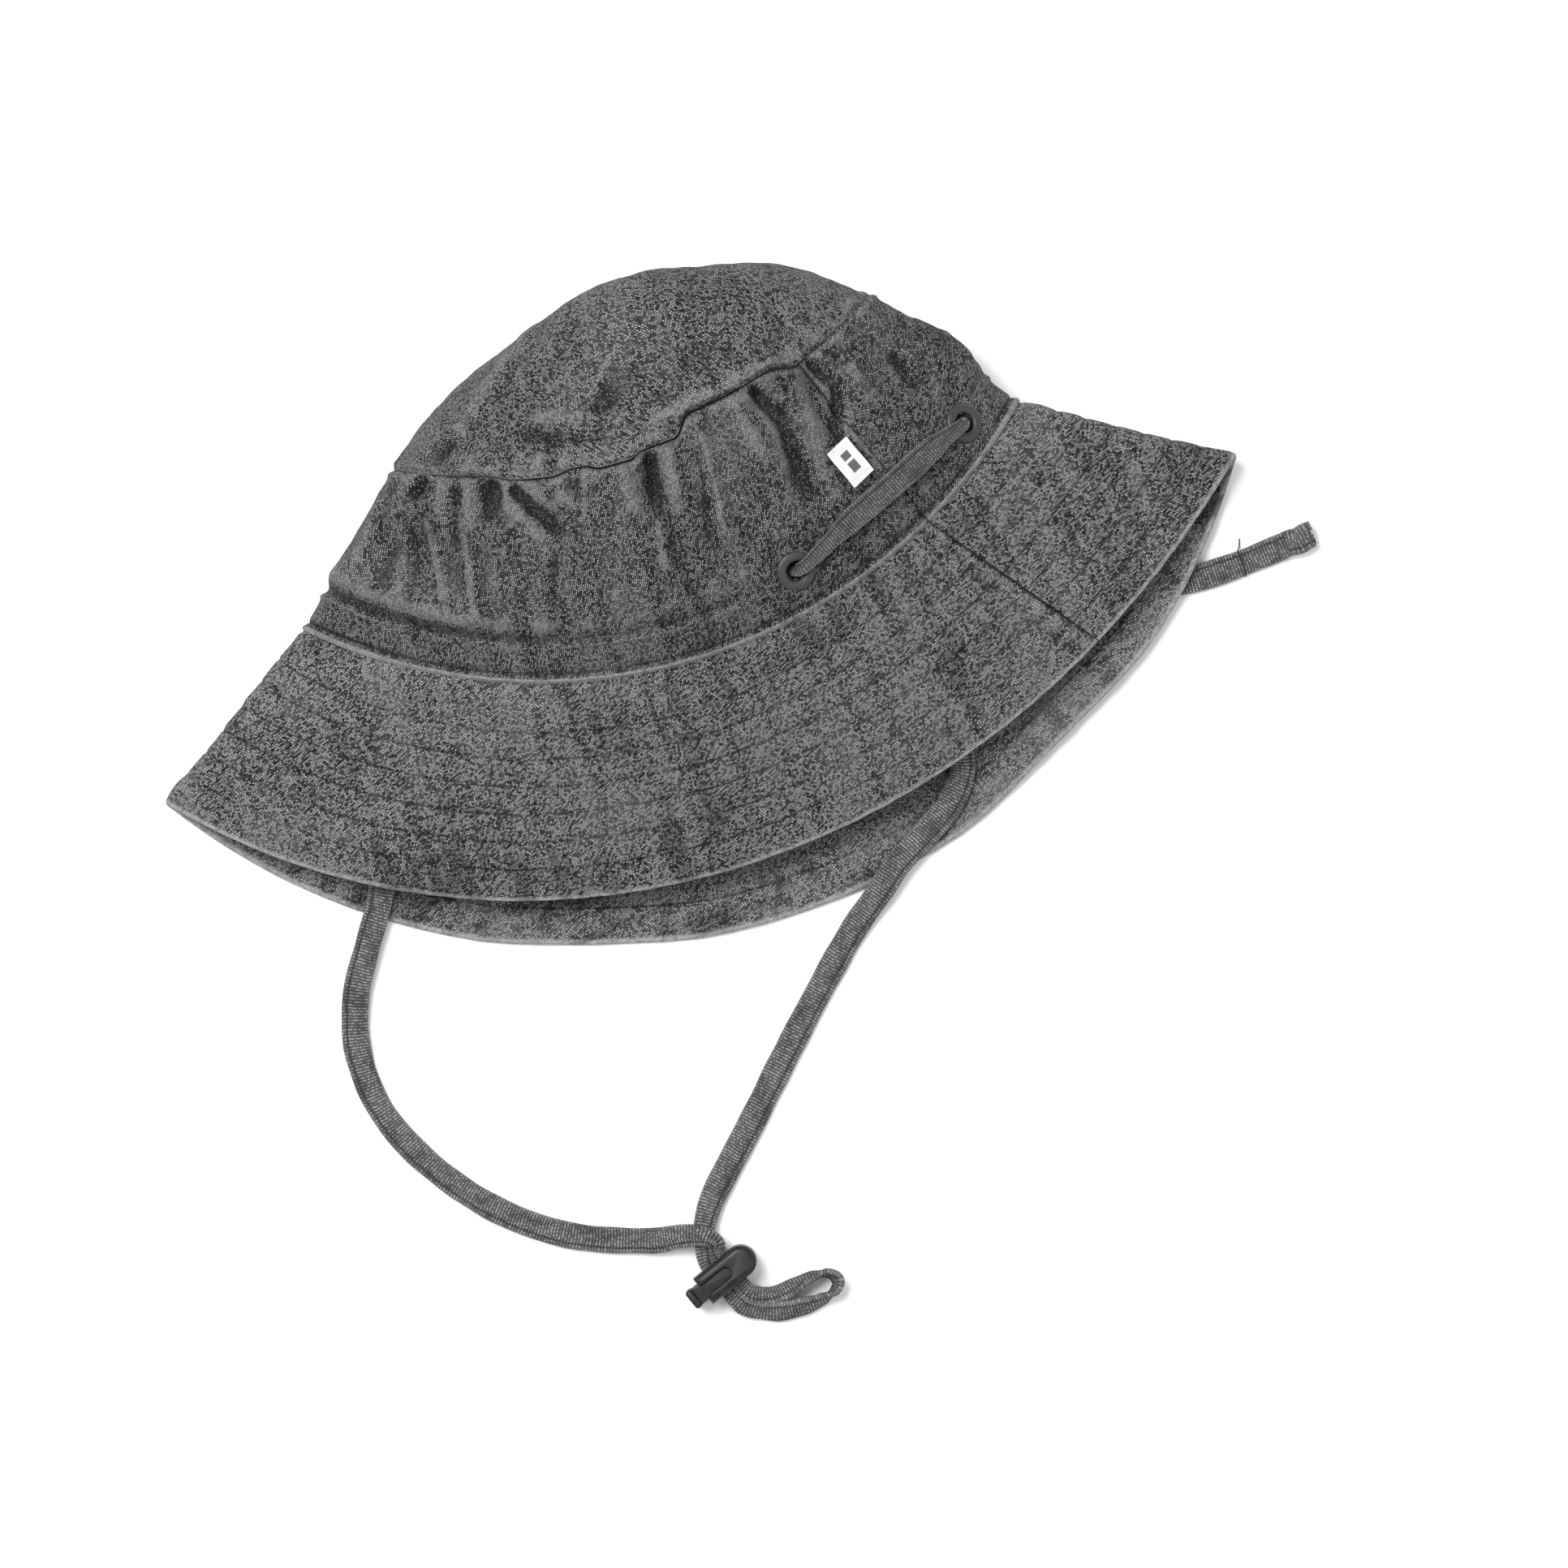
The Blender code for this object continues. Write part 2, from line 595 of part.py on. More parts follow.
def out_of_eyelet(place, target):
    """The strap's way out of an eyelet and over its flange, towards a target."""
    frame = eyelet_frame(eyelet_angles()[place])
    local = frame.inverted() @ target
    local.z = 0.0
    local.normalize()
    over = PLY_GAP + EYELET_DOME + 2.5 * PLY_GAP + 0.5 * STRAP_THICK * SQUEEZE
    stations = ((0.0, -barrel_end() + 0.6), (0.0, -1.0), (1.0, 1.2), (EYELET_BORE + 0.6, over))
    return [at(frame, out * local.x, out * local.y, up, 90, SQUEEZE) for out, up in stations]


def bridge_route():
    """The strap's short stretch over the outside of the hat, from eyelet to eyelet."""
    angles = eyelet_angles()
    front, back = angles["near_front"], angles["near_back"]
    v = EYELET_HEIGHT / side_height()
    clear = 0.5 * STRAP_THICK + 4 * PLY_GAP
    over = []
    for share, size in ((0.14, 0.6), (0.28, 0.9), (0.5, 1.0), (0.72, 0.9), (0.86, 0.6)):
        u = front + (back - front) * share
        rise = v + BRIDGE_BOW / side_height() * 4.0 * share * (1.0 - share)
        point = crown_point(u, rise) + outward(crown_point, u, rise) * clear
        over.append((*point, 90, size))
    first = out_of_eyelet("near_front", Vector(over[0][:3]))
    last = out_of_eyelet("near_back", Vector(over[-1][:3]))
    return first + over + last[::-1]


def rounded_box(size, edge, segments=2):
    bm = bmesh.new()
    bmesh.ops.create_cube(bm, size=1.0)
    bmesh.ops.scale(bm, vec=size, verts=bm.verts)
    bmesh.ops.bevel(bm, geom=bm.edges[:], offset=edge, segments=segments, profile=0.5,
                    affect="EDGES")
    return bm


def build_tail_ends():
    """The folded and sewn stop at the free end of each tail."""
    for side, route in (("near", TAIL_NEAR_ROUTE), ("far", TAIL_FAR_ROUTE)):
        last, before = Vector(route[-1][:3]), Vector(route[-2][:3])
        along = last - before
        along.z = 0.0
        along.normalize()
        centre = last + along * (0.5 * TAIL_END[0] + STRAP_END_GAP)
        centre.z = last.z - 0.5 * STRAP_THICK + 0.5 * TAIL_END[2]
        frame = Matrix.Rotation(math.atan2(along.y, along.x), 4, "Z")
        frame.translation = centre
        mesh_object("strap_tail_end_" + side, rounded_box(TAIL_END, 1.2), strap_cloth(), frame)


# ---------------------------------------------------------------- label

def build_label():
    """A small folded label that stands out of the near side seam towards the front."""
    frame = surface_frame(crown_point, SEAM_U, (LABEL_HEIGHT + 0.5 * LABEL_LENGTH) / side_height())
    bm = rounded_box((LABEL_WIDTH, LABEL_LENGTH, LABEL_THICK), 0.25, 1)
    shift = Matrix.Translation((0.5 * LABEL_WIDTH + LABEL_STANDS, 0.0,
                                2 * PLY_GAP + LABEL_THICK))
    mesh_object("label", bm, material("label_white", (0.85, 0.85, 0.84), 0.7), frame @ shift)


# ---------------------------------------------------------------- cord lock

def lock_frame():
    frame = Matrix.Rotation(math.radians(LOCK_TURN), 4, "Z")
    frame.translation = LOCK_CENTRE
    return frame


def box_between(low, high):
    bm = bmesh.new()
    bmesh.ops.create_cube(bm, size=1.0)
    size = Vector(high) - Vector(low)
    bmesh.ops.scale(bm, vec=size, verts=bm.verts)
    bmesh.ops.translate(bm, vec=(Vector(low) + Vector(high)) / 2, verts=bm.verts)
    return bm


def round_ended(start, end, half):
    """An outline seen from above: square at its start, round at its end."""
    centre = end - half
    outline = [(start, half), (start, -half)]
    count = ROUND_STEPS // 2
    for k in range(count + 1):
        a = HALF_TURN * (k / count - 0.5)
        outline.append((centre + half * math.cos(a), half * math.sin(a)))
    return outline


def raise_outline(outline, low, high):
    bm = bmesh.new()
    face = bm.faces.new([bm.verts.new((x, y, low)) for x, y in outline])
    roof = bmesh.ops.extrude_face_region(bm, geom=[face])["geom"]
    verts = [v for v in roof if isinstance(v, bmesh.types.BMVert)]
    bmesh.ops.translate(bm, vec=(0, 0, high - low), verts=verts)
    return bm


def housing_block():
    outline = round_ended(LOCK_OPEN_END, LOCK_OPEN_END + LOCK_LENGTH, 0.5 * LOCK_WIDTH)
    bm = raise_outline(outline, -0.5 * LOCK_HEIGHT, 0.5 * LOCK_HEIGHT)
    rims = [e for e in bm.edges if abs(e.verts[0].co.z - e.verts[1].co.z) < 0.01]
    bmesh.ops.bevel(bm, geom=rims, offset=LOCK_EDGE, segments=2, profile=0.5, affect="EDGES")
    return bm


def strand_reach():
    """Half the width that the two squeezed strands take up side by side."""
    return 0.5 * (STRAND_SPACING + STRAP_WIDTH * LOCK_SQUEEZE)


def button_sizes():
    """Cavity and button share these: half width, half height and the ends of the button."""
    half_y = 0.5 * LOCK_WIDTH - LOCK_WALL
    half_z = 0.5 * LOCK_HEIGHT - LOCK_ROOF
    slot_in = strand_reach() + STOP_GAP
    slot_out = -slot_in - BUTTON_TRAVEL
    inner_end = slot_in + PASSAGE_WALL
    pad_face = LOCK_OPEN_END - BUTTON_TRAVEL - STOP_GAP
    return half_y, half_z, slot_in, slot_out, inner_end, pad_face


def build_lock():
    frame = lock_frame()
    plastic = material("lock_plastic", (0.035, 0.035, 0.037), 0.5)
    half_y, half_z, slot_in, slot_out, inner_end, pad_face = button_sizes()
    cavity_end = inner_end + BUTTON_TRAVEL + STOP_GAP
    chamber_end = inner_end + SPRING_LENGTH + 2 * STOP_GAP
    strap_z = 0.5 * STRAP_THICK * LOCK_SQUEEZE + STRAND_CLEARANCE
    strap_x = strand_reach() + STRAND_CLEARANCE
    housing = mesh_object("cord_lock_housing", housing_block(), plastic, frame)
    cavity = mesh_object("lock_cavity", box_between((LOCK_OPEN_END - 2, -half_y, -half_z),
                                                    (cavity_end, half_y, half_z)),
                         plastic, frame, smooth=False)
    passage = mesh_object("lock_passage", box_between((-strap_x, -LOCK_WIDTH, -strap_z),
                                                      (strap_x, LOCK_WIDTH, strap_z)),
                          plastic, frame, smooth=False)
    chamber = bmesh.new()
    reach = chamber_end - cavity_end + 1.0
    bmesh.ops.create_cone(chamber, cap_ends=True, segments=ROUND_STEPS // 2,
                          radius1=SPRING_RADIUS + SPRING_CLEARANCE,
                          radius2=SPRING_RADIUS + SPRING_CLEARANCE, depth=reach)
    width, tip = LOCK_WINDOW
    window = round_ended(LOCK_OPEN_END - 2, tip, 0.5 * width)
    window = mesh_object("lock_window", raise_outline(window, half_z - 1, LOCK_HEIGHT), plastic,
                         frame, smooth=False)
    turn = Matrix.Rotation(HALF_TURN / 2, 4, "Y")
    turn.translation = (chamber_end - 0.5 * reach, 0, 0)
    chamber = mesh_object("lock_chamber", chamber, plastic, frame @ turn)
    cut(housing, [as_cutter(c) for c in (cavity, chamber, passage, window)])
    build_button(frame, plastic)
    build_spring(frame, inner_end + STOP_GAP)


def build_button(frame, plastic):
    half_y, half_z, slot_in, slot_out, inner_end, pad_face = button_sizes()
    y, z = half_y - BUTTON_CLEARANCE, half_z - BUTTON_CLEARANCE
    body = box_between((pad_face - 1.0, -y, -z), (inner_end, y, z))
    button = mesh_object("cord_lock_button", body, plastic, frame, smooth=False)
    pad = rounded_box((BUTTON_PAD, BUTTON_PAD_WIDTH, LOCK_HEIGHT - 0.6), BUTTON_PAD_EDGE)
    centre = Matrix.Translation((pad_face - 0.5 * BUTTON_PAD, 0, 0))
    pad = as_cutter(mesh_object("button_pad", pad, plastic, frame @ centre, smooth=False))
    join = button.modifiers.new("pad", "BOOLEAN")
    join.operation = "UNION"
    join.solver = "EXACT"
    join.object = pad
    strap_z = 0.5 * STRAP_THICK * LOCK_SQUEEZE + STRAND_CLEARANCE
    slot = mesh_object("button_slot", box_between((slot_out, -LOCK_WIDTH, -strap_z),
                                                  (slot_in, LOCK_WIDTH, strap_z)),
                       plastic, frame, smooth=False)
    cut(button, [as_cutter(slot)])


def build_spring(frame, start):
    data = bpy.data.curves.new("cord_lock_spring", "CURVE")
    data.dimensions = "3D"
    data.bevel_depth = SPRING_WIRE * MM
    data.bevel_resolution = 1
    data.use_fill_caps = True
    spline = data.splines.new("POLY")
    per_turn = 12
    count = int(SPRING_TURNS * per_turn)
    spline.points.add(count)
    first, last = start + SPRING_WIRE, start + SPRING_LENGTH - SPRING_WIRE - STOP_GAP
    for k, point in enumerate(spline.points):
        a = 2 * HALF_TURN * k / per_turn
        x = first + (last - first) * k / count
        place = frame @ Vector((x, SPRING_RADIUS * math.cos(a), SPRING_RADIUS * math.sin(a)))
        point.co = (*(place * MM), 1.0)
    add_object("cord_lock_spring", data, material("spring_steel", (0.5, 0.5, 0.5), 0.3, 1.0))


def main():
    for old in list(bpy.data.objects):
        bpy.data.objects.remove(old)
    cutters = eyelet_cutters()
    build_crown(cutters)
    build_brim()
    build_eyelets()
    build_straps()
    build_label()
    build_lock()


main()
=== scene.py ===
"""Looks for a child's washed denim bucket hat that lies on its side, half flattened.

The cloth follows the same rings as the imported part: each ring of the hat is a lens, with a
near arc above and a far arc below. Details such as quilting, puckers and creases move the
cloth along its own normal. Sizes are in millimetres until a mesh is written, and those of the
camera, lights and floor are in metres.
"""

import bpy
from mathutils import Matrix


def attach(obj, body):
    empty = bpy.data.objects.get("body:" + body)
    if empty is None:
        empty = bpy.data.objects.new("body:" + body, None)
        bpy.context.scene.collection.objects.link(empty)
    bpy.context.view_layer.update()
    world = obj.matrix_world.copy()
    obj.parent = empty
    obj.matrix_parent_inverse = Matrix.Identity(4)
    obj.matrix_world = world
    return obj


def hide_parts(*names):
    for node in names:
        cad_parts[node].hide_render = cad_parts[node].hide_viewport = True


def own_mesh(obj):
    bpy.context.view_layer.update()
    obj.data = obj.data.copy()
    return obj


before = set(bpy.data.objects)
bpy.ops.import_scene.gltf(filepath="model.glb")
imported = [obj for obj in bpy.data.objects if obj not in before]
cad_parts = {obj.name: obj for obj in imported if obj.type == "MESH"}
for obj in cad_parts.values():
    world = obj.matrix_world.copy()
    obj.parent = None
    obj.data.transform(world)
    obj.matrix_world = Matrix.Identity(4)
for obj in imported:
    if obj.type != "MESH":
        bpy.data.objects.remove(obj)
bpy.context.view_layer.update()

import copy
import math

import bmesh
import bpy
import numpy as np
from mathutils import Matrix, Vector

MM = 0.001
FULL = 2 * math.pi
RNG_SEED = 7

# ---------------------------------------------------------------- camera, lights, floor

VIEW_CENTRE = (0.0095, -0.0601)
VIEW_FIELD = 0.4733            # width of what the camera sees, at the surface
VIEW_DISTANCE = 3.0
VIEW_TURN = -18.0              # degrees that the camera is turned about its own axis
SENSOR = 36.0


KEY_LIGHT = ((-0.55, 0.75, 2.1), 1.1, 62.0)    # place, size and power
FILL_LIGHT = ((1.6, -1.0, 1.8), 1.6, 12.0)
LIGHT_AIM = Vector((0.0, -0.05, 0.0))
WORLD_STRENGTH = 0.68
FLOOR_SIZE, FLOOR_Z = 8.0, -0.0002


def add_object(name, data):
    made = bpy.data.objects.new(name, data)
    bpy.context.scene.collection.objects.link(made)
    return made


def add_camera():
    data = bpy.data.cameras.new("camera")
    data.sensor_width = SENSOR
    data.lens = SENSOR * VIEW_DISTANCE / VIEW_FIELD
    data.clip_end = 20.0
    made = add_object("camera", data)
    made.location = (*VIEW_CENTRE, VIEW_DISTANCE)
    made.rotation_euler = (0.0, 0.0, math.radians(VIEW_TURN))
    bpy.context.scene.camera = made


def add_area_light(name, place, size, power):
    data = bpy.data.lights.new(name, "AREA")
    data.shape = "SQUARE"
    data.size = size
    data.energy = power
    made = add_object(name, data)
    made.location = place
    made.rotation_euler = (LIGHT_AIM - Vector(place)).to_track_quat("-Z", "Y").to_euler()


def add_lights():
    add_area_light("key_light", *KEY_LIGHT)
    add_area_light("fill_light", *FILL_LIGHT)
    world = bpy.data.worlds.new("studio")
    world.use_nodes = True
    background = world.node_tree.nodes["Background"].inputs
    background["Color"].default_value = (1.0, 1.0, 1.0, 1.0)
    background["Strength"].default_value = WORLD_STRENGTH
    bpy.context.scene.world = world
    bpy.context.scene.view_settings.view_transform = "Standard"


# ---------------------------------------------------------------- shader helper

class Shader:
    """A Principled material whose inputs are wired from small sums of nodes."""

    def __init__(self, name, roughness=0.9, metallic=0.0, colour=(0.5, 0.5, 0.5)):
        self.material = bpy.data.materials.new(name)
        self.material.use_nodes = True
        self.tree = self.material.node_tree
        self.bsdf = self.tree.nodes["Principled BSDF"]
        self.bsdf.inputs["Base Color"].default_value = (*colour, 1.0)
        self.bsdf.inputs["Roughness"].default_value = roughness
        self.bsdf.inputs["Metallic"].default_value = metallic

    def link(self, value, socket):
        if hasattr(value, "node"):
            self.tree.links.new(value, socket)
        else:
            socket.default_value = value

    def node(self, kind, values=(), out=0, **settings):
        made = self.tree.nodes.new(kind)
        for key, value in settings.items():
            setattr(made, key, value)
        for key, value in dict(values).items():
            self.link(value, made.inputs[key])
        return made.outputs[out]

    def math(self, operation, a, b=0.0, c=0.0, clamp=False):
        return self.node("ShaderNodeMath", {0: a, 1: b, 2: c}, operation=operation,
                         use_clamp=clamp)

    def add(self, a, b, clamp=False):
        return self.math("ADD", a, b, clamp=clamp)

    def sub(self, a, b):
        return self.math("SUBTRACT", a, b)

    def mul(self, a, b):
        return self.math("MULTIPLY", a, b)

    def div(self, a, b):
        return self.math("DIVIDE", a, b)

    def mul_add(self, a, b, c, clamp=False):
        return self.math("MULTIPLY_ADD", a, b, c, clamp)

    def below(self, a, b):
        return self.math("LESS_THAN", a, b)

    def wave(self, a):
        """A triangle wave between 0 and 0.5, one period for each whole number."""
        return self.math("PINGPONG", a, 0.5)

    def uv(self, name):
        """The two axes of a UV map, in millimetres."""
        vector = self.node("ShaderNodeUVMap", uv_map=name)
        made = self.tree.nodes.new("ShaderNodeSeparateXYZ")
        self.tree.links.new(vector, made.inputs[0])
        return made.outputs[0], made.outputs[1]

    def join(self, x, y, z=0.0):
        return self.node("ShaderNodeCombineXYZ", {0: x, 1: y, 2: z})

    def attribute(self, name):
        return self.node("ShaderNodeAttribute", out=2, attribute_name=name)

    def place(self):
        """Position on the object, in millimetres."""
        point = self.node("ShaderNodeTexCoord", out=3)
        return self.node("ShaderNodeVectorMath", {0: point, 3: 1.0 / MM}, operation="SCALE")

    def noise(self, vector, scale, detail=2.0, roughness=0.5):
        return self.node("ShaderNodeTexNoise", {"Vector": vector, "Scale": scale,
                                                "Detail": detail, "Roughness": roughness})

    def dice(self, vector):
        return self.node("ShaderNodeTexWhiteNoise", {0: vector}, noise_dimensions="3D")

    def ramp(self, value, low, high, out_low=0.0, out_high=1.0):
        return self.node("ShaderNodeMapRange", {0: value, 1: low, 2: high, 3: out_low,
                                                4: out_high},
                         interpolation_type="SMOOTHSTEP")

    def mix(self, share, a, b):
        made = self.tree.nodes.new("ShaderNodeMix")
        made.data_type = "RGBA"
        self.link(share, made.inputs[0])
        self.link(a, made.inputs[6])
        self.link(b, made.inputs[7])
        return made.outputs[2]

    def bump(self, height, distance, strength=1.0, under=None):
        values = {"Strength": strength, "Distance": distance * MM, "Height": height}
        if under is not None:
            values["Normal"] = under
        return self.node("ShaderNodeBump", values)

    def finish(self, colour=None, normal=None, roughness=None):
        for value, name in ((colour, "Base Color"), (normal, "Normal"),
                            (roughness, "Roughness")):
            if value is not None:
                self.link(value, self.bsdf.inputs[name])
        return self.material


def grey(level, warmth=0.0):
    return (level * (1.0 + warmth), level, level * (1.0 - warmth), 1.0)


# ---------------------------------------------------------------- materials

TWILL_PITCH = 0.56             # across the diagonal ribs of the twill
FLOAT_PITCH = 0.8              # along a rib, from one light float to the next
STITCH_PITCH = 2.9
STITCH_SHARE = 0.72            # of the pitch that the thread shows
STITCH_HALF = 0.3
BRIM_ROWS = (11.0, 56.0, 9.0)  # rows of stitches from the edge: first, last, pitch
HEM_ROWS = (2.2, 2.2, 9.0)
NO_ROWS = (-9.0, -9.0, 9.0)


def twill(s, angle, dark, light, least, warm):
    """Weave of the washed denim: ribs of dark warp with random light floats."""
    x, y = s.uv("grain")
    cos, sin = math.cos(math.radians(angle)), math.sin(math.radians(angle))
    along = s.add(s.mul(x, cos), s.mul(y, sin))
    across = s.sub(s.mul(y, cos), s.mul(x, sin))
    wander = s.noise(s.join(x, y), 0.06, 2.0)
    across = s.mul_add(wander, 2.5, across)
    rib = s.div(across, TWILL_PITCH)
    rib_index = s.math("FLOOR", rib)
    rib_wave = s.wave(rib)
    start = s.dice(s.join(rib_index, 7.0))
    cell = s.mul_add(start, 5.0, s.div(along, FLOAT_PITCH))
    cell_index = s.math("FLOOR", cell)
    cell_wave = s.wave(cell)
    chance = s.dice(s.join(rib_index, cell_index))
    clouds = s.noise(s.join(x, y), 0.05, 3.0, 0.6)
    fleck = s.mul(s.ramp(cell_wave, 0.02, 0.28), s.ramp(rib_wave, 0.04, 0.34))
    luck = s.mul_add(s.sub(clouds, 0.5), 0.2, chance)
    fleck = s.mul(fleck, s.ramp(luck, 0.02, 1.0, least, 1.0))
    thread = s.ramp(s.dice(s.join(rib_index, cell_index, 3.0)), 0.0, 1.0, 0.0, 0.12)
    body = s.mul(s.ramp(rib_wave, 0.05, 0.42), thread)
    level = s.add(fleck, body, clamp=True)
    height = s.add(s.mul(rib_wave, 0.9), s.mul(fleck, 0.5))
    return s.mix(level, grey(dark), grey(light, warm)), height


def stitched(s, colour, height, rows):
    """Dark thread along rows at given distances from the piece's edge: first, last, pitch."""
    along, across = s.uv("rows")
    first, last, pitch = rows
    step = s.div(s.sub(across, first), pitch)
    nearest = s.sub(step, s.math("ROUND", step))
    offset = s.mul(s.math("ABSOLUTE", nearest), pitch)
    row = s.sub(1.0, s.ramp(offset, STITCH_HALF * 0.6, STITCH_HALF * 1.4))
    inside = s.mul(s.math("GREATER_THAN", across, first - 1.0),
                    s.below(across, last + 1.0))
    row = s.mul(row, inside)
    dash = s.math("FRACT", s.div(along, STITCH_PITCH))
    dash = s.below(dash, STITCH_SHARE)
    worn = s.ramp(s.noise(s.join(along, across), 0.12, 2.0), 0.3, 0.58, 0.1, 0.9)
    thread = s.mul(s.mul(row, dash), worn)
    height = s.sub(height, s.mul(row, 0.8))
    return s.mix(thread, colour, grey(0.008)), height


def denim(name, angle, dark=0.004, light=0.36, least=0.0, streaks=0.22, rows=(0.0, -9.0, 9.0),
          worn_edge=1.8, pale_edge=0.33, wear=1.0, warm=0.012):
    s = Shader(name, roughness=0.92)
    colour, height = twill(s, angle, dark, light, least, warm)
    colour, height = stitched(s, colour, height, rows)
    relief = s.attribute("relief")
    speckle = s.ramp(s.noise(s.place(), 1.6, 3.0, 0.7), 0.3, 0.7, 0.45, 1.0)
    rubbed = s.mul(s.ramp(relief, 0.12, 0.8, 0.0, 0.34 * wear), speckle)
    colour = s.mix(rubbed, colour, grey(0.24, 0.01))
    # Painted shade: the cloth is darkened in the hollows of its relief, less so on its light flecks.
    crease_shade = s.mul(s.ramp(relief, -0.75, -0.04, 0.8, 0.0),
                  s.ramp(height, 0.5, 0.95, 1.0, 0.4))
    colour = s.mix(crease_shade, colour, grey(0.008))
    edge = s.uv("rows")[1]
    rim = s.sub(1.0, s.ramp(edge, worn_edge * 0.45, worn_edge * 1.25))
    rim = s.mul(rim, s.ramp(s.noise(s.place(), 0.55, 3.0, 0.7), 0.3, 0.7, 0.35, 0.95))
    colour = s.mix(rim, colour, grey(pale_edge, 0.01))
    x, y = s.uv("grain")
    bands = s.noise(s.join(x, s.mul(y, 0.1)), 0.17, 4.0, 0.65)
    broad = s.noise(s.place(), 0.03, 2.0, 0.5)
    wash = s.add(s.mul(bands, 0.6), s.mul(broad, 0.4))
    pale = s.mul(s.ramp(wash, 0.46, 0.62, 0.0, streaks), speckle)
    colour = s.mix(pale, colour, grey(0.17, 0.008))
    colour = s.mix(s.ramp(wash, 0.36, 0.5, 1.5 * streaks, 0.0), colour, grey(0.008))
    s.bsdf.inputs["Sheen Weight"].default_value = 0.03
    s.bsdf.inputs["Specular IOR Level"].default_value = 0.1
    return s.finish(colour, s.bump(height, 0.16, 0.8))


def plain_weave(name, dark, light):
    s = Shader(name, roughness=0.95)
    x, y = s.uv("grain")
    warp = s.wave(s.div(x, 0.45))
    weft = s.wave(s.div(y, 0.45))
    weave = s.mul(warp, weft)
    shade = s.noise(s.place(), 0.08, 3.0)
    level = s.add(s.mul(weave, 2.2), s.mul(shade, 0.5), clamp=True)
    return s.finish(s.mix(level, grey(dark), grey(light)), s.bump(weave, 0.1, 0.6))


RIB_PITCH = 0.93               # of the strap's cross ribs
YARN_PITCH = 0.56
SEAM_LANE = 2.35               # from the strap's middle to the groove beside its stitched edge


def ribbed_strap(name, light=0.32):
    """Cloth of the strap: fine cross ribs with light dots and a stitched lane at one edge."""
    s = Shader(name, roughness=0.9)
    along, across = s.uv("rows")
    drift = s.noise(s.join(s.mul(along, 0.08), across), 0.35, 2.0)
    rib = s.add(s.div(along, RIB_PITCH), s.mul(drift, 0.9))
    rib_index, rib_wave = s.math("FLOOR", rib), s.wave(rib)
    yarn = s.mul_add(rib_index, 0.5, s.div(across, YARN_PITCH))
    chance = s.dice(s.join(rib_index, s.math("FLOOR", yarn)))
    dot = s.mul(s.ramp(s.wave(yarn), 0.05, 0.4),
                 s.ramp(rib_wave, 0.12, 0.4))
    dot = s.mul(dot, s.ramp(chance, 0.2, 1.0))
    clouds = s.noise(s.join(along, s.mul(across, 2.0)), 0.09, 3.0, 0.65)
    body = s.mul_add(s.ramp(rib_wave, 0.05, 0.4), 0.16, 0.02)
    body = s.mul_add(s.ramp(clouds, 0.3, 0.65), 0.08, body)
    level = s.mul_add(dot, 0.95, body, clamp=True)
    colour = s.mix(level, grey(0.008), grey(light, 0.01))
    # Painted shade: a dark line along the groove beside the stitched edge.
    lane = s.math("ABSOLUTE", s.sub(across, SEAM_LANE))
    groove = s.sub(1.0, s.ramp(lane, 0.12, 0.4))
    colour = s.mix(s.mul(groove, 0.75), colour, grey(0.012))
    side = s.ramp(s.math("ABSOLUTE", across), 3.1, 4.0)
    colour = s.mix(s.mul(side, 0.3), colour, grey(0.2, 0.01))
    dark_patch = s.ramp(clouds, 0.3, 0.52, 0.62, 0.0)
    colour = s.mix(dark_patch, colour, grey(0.018))
    height = s.add(rib_wave, s.mul(dot, 0.6))
    height = s.sub(height, s.mul(groove, 1.4))
    return s.finish(colour, s.bump(height, 0.2, 0.8))


def eyelet_paint():
    s = Shader("eyelet_paint", roughness=0.5, metallic=0.25)
    scuff = s.noise(s.place(), 1.3, 4.0, 0.7)
    colour = s.mix(s.ramp(scuff, 0.5, 0.75, 0.0, 0.55), grey(0.032, 0.06), grey(0.085, 0.04))
    return s.finish(colour, s.bump(s.noise(s.place(), 3.0, 3.0), 0.05, 0.4),
                    s.ramp(scuff, 0.3, 0.8, 0.42, 0.65))


def bare_metal(name, level):
    s = Shader(name, roughness=0.3, metallic=1.0)
    mark = s.noise(s.place(), 0.9, 3.0, 0.6)
    colour = s.mix(s.ramp(mark, 0.35, 0.7), grey(level), grey(level * 0.7))
    return s.finish(colour, s.bump(s.noise(s.place(), 6.0, 2.0), 0.03, 0.3),
                    s.ramp(mark, 0.3, 0.7, 0.22, 0.42))


def lock_plastic():
    s = Shader("lock_plastic", roughness=0.42)
    s.bsdf.inputs["Specular IOR Level"].default_value = 0.32
    smudge = s.noise(s.place(), 0.35, 3.0, 0.6)
    colour = s.mix(s.ramp(smudge, 0.35, 0.7), grey(0.006), grey(0.014))
    grain = s.noise(s.place(), 5.0, 2.0)
    return s.finish(colour, s.bump(grain, 0.03, 0.5), s.ramp(smudge, 0.3, 0.7, 0.36, 0.52))


def label_tape():
    """White satin tape with a plain mark of two dark blocks."""
    s = Shader("label_tape", roughness=0.6)
    x, y = s.uv("rows")
    weave = s.wave(s.div(y, 0.35))
    soil = s.noise(s.place(), 0.4, 3.0)
    colour = s.mix(s.ramp(soil, 0.35, 0.75), grey(0.62), grey(0.54, 0.01))
    for centre, half in ((-2.3, 1.2), (1.5, 1.7)):
        off_y = s.math("ABSOLUTE", s.sub(y, centre))
        off_x = s.math("ABSOLUTE", s.sub(x, -0.2))
        block = s.mul(s.below(off_y, half),
                       s.below(off_x, 1.5))
        colour = s.mix(s.mul(block, 0.9), colour, grey(0.02))
    return s.finish(colour, s.bump(weave, 0.05, 0.5))


def floor_paper():
    s = Shader("floor_paper", roughness=0.8)
    tone = s.noise(s.place(), 0.004, 2.0)
    colour = s.mix(s.ramp(tone, 0.3, 0.7), grey(0.9), grey(0.885))
    return s.finish(colour)


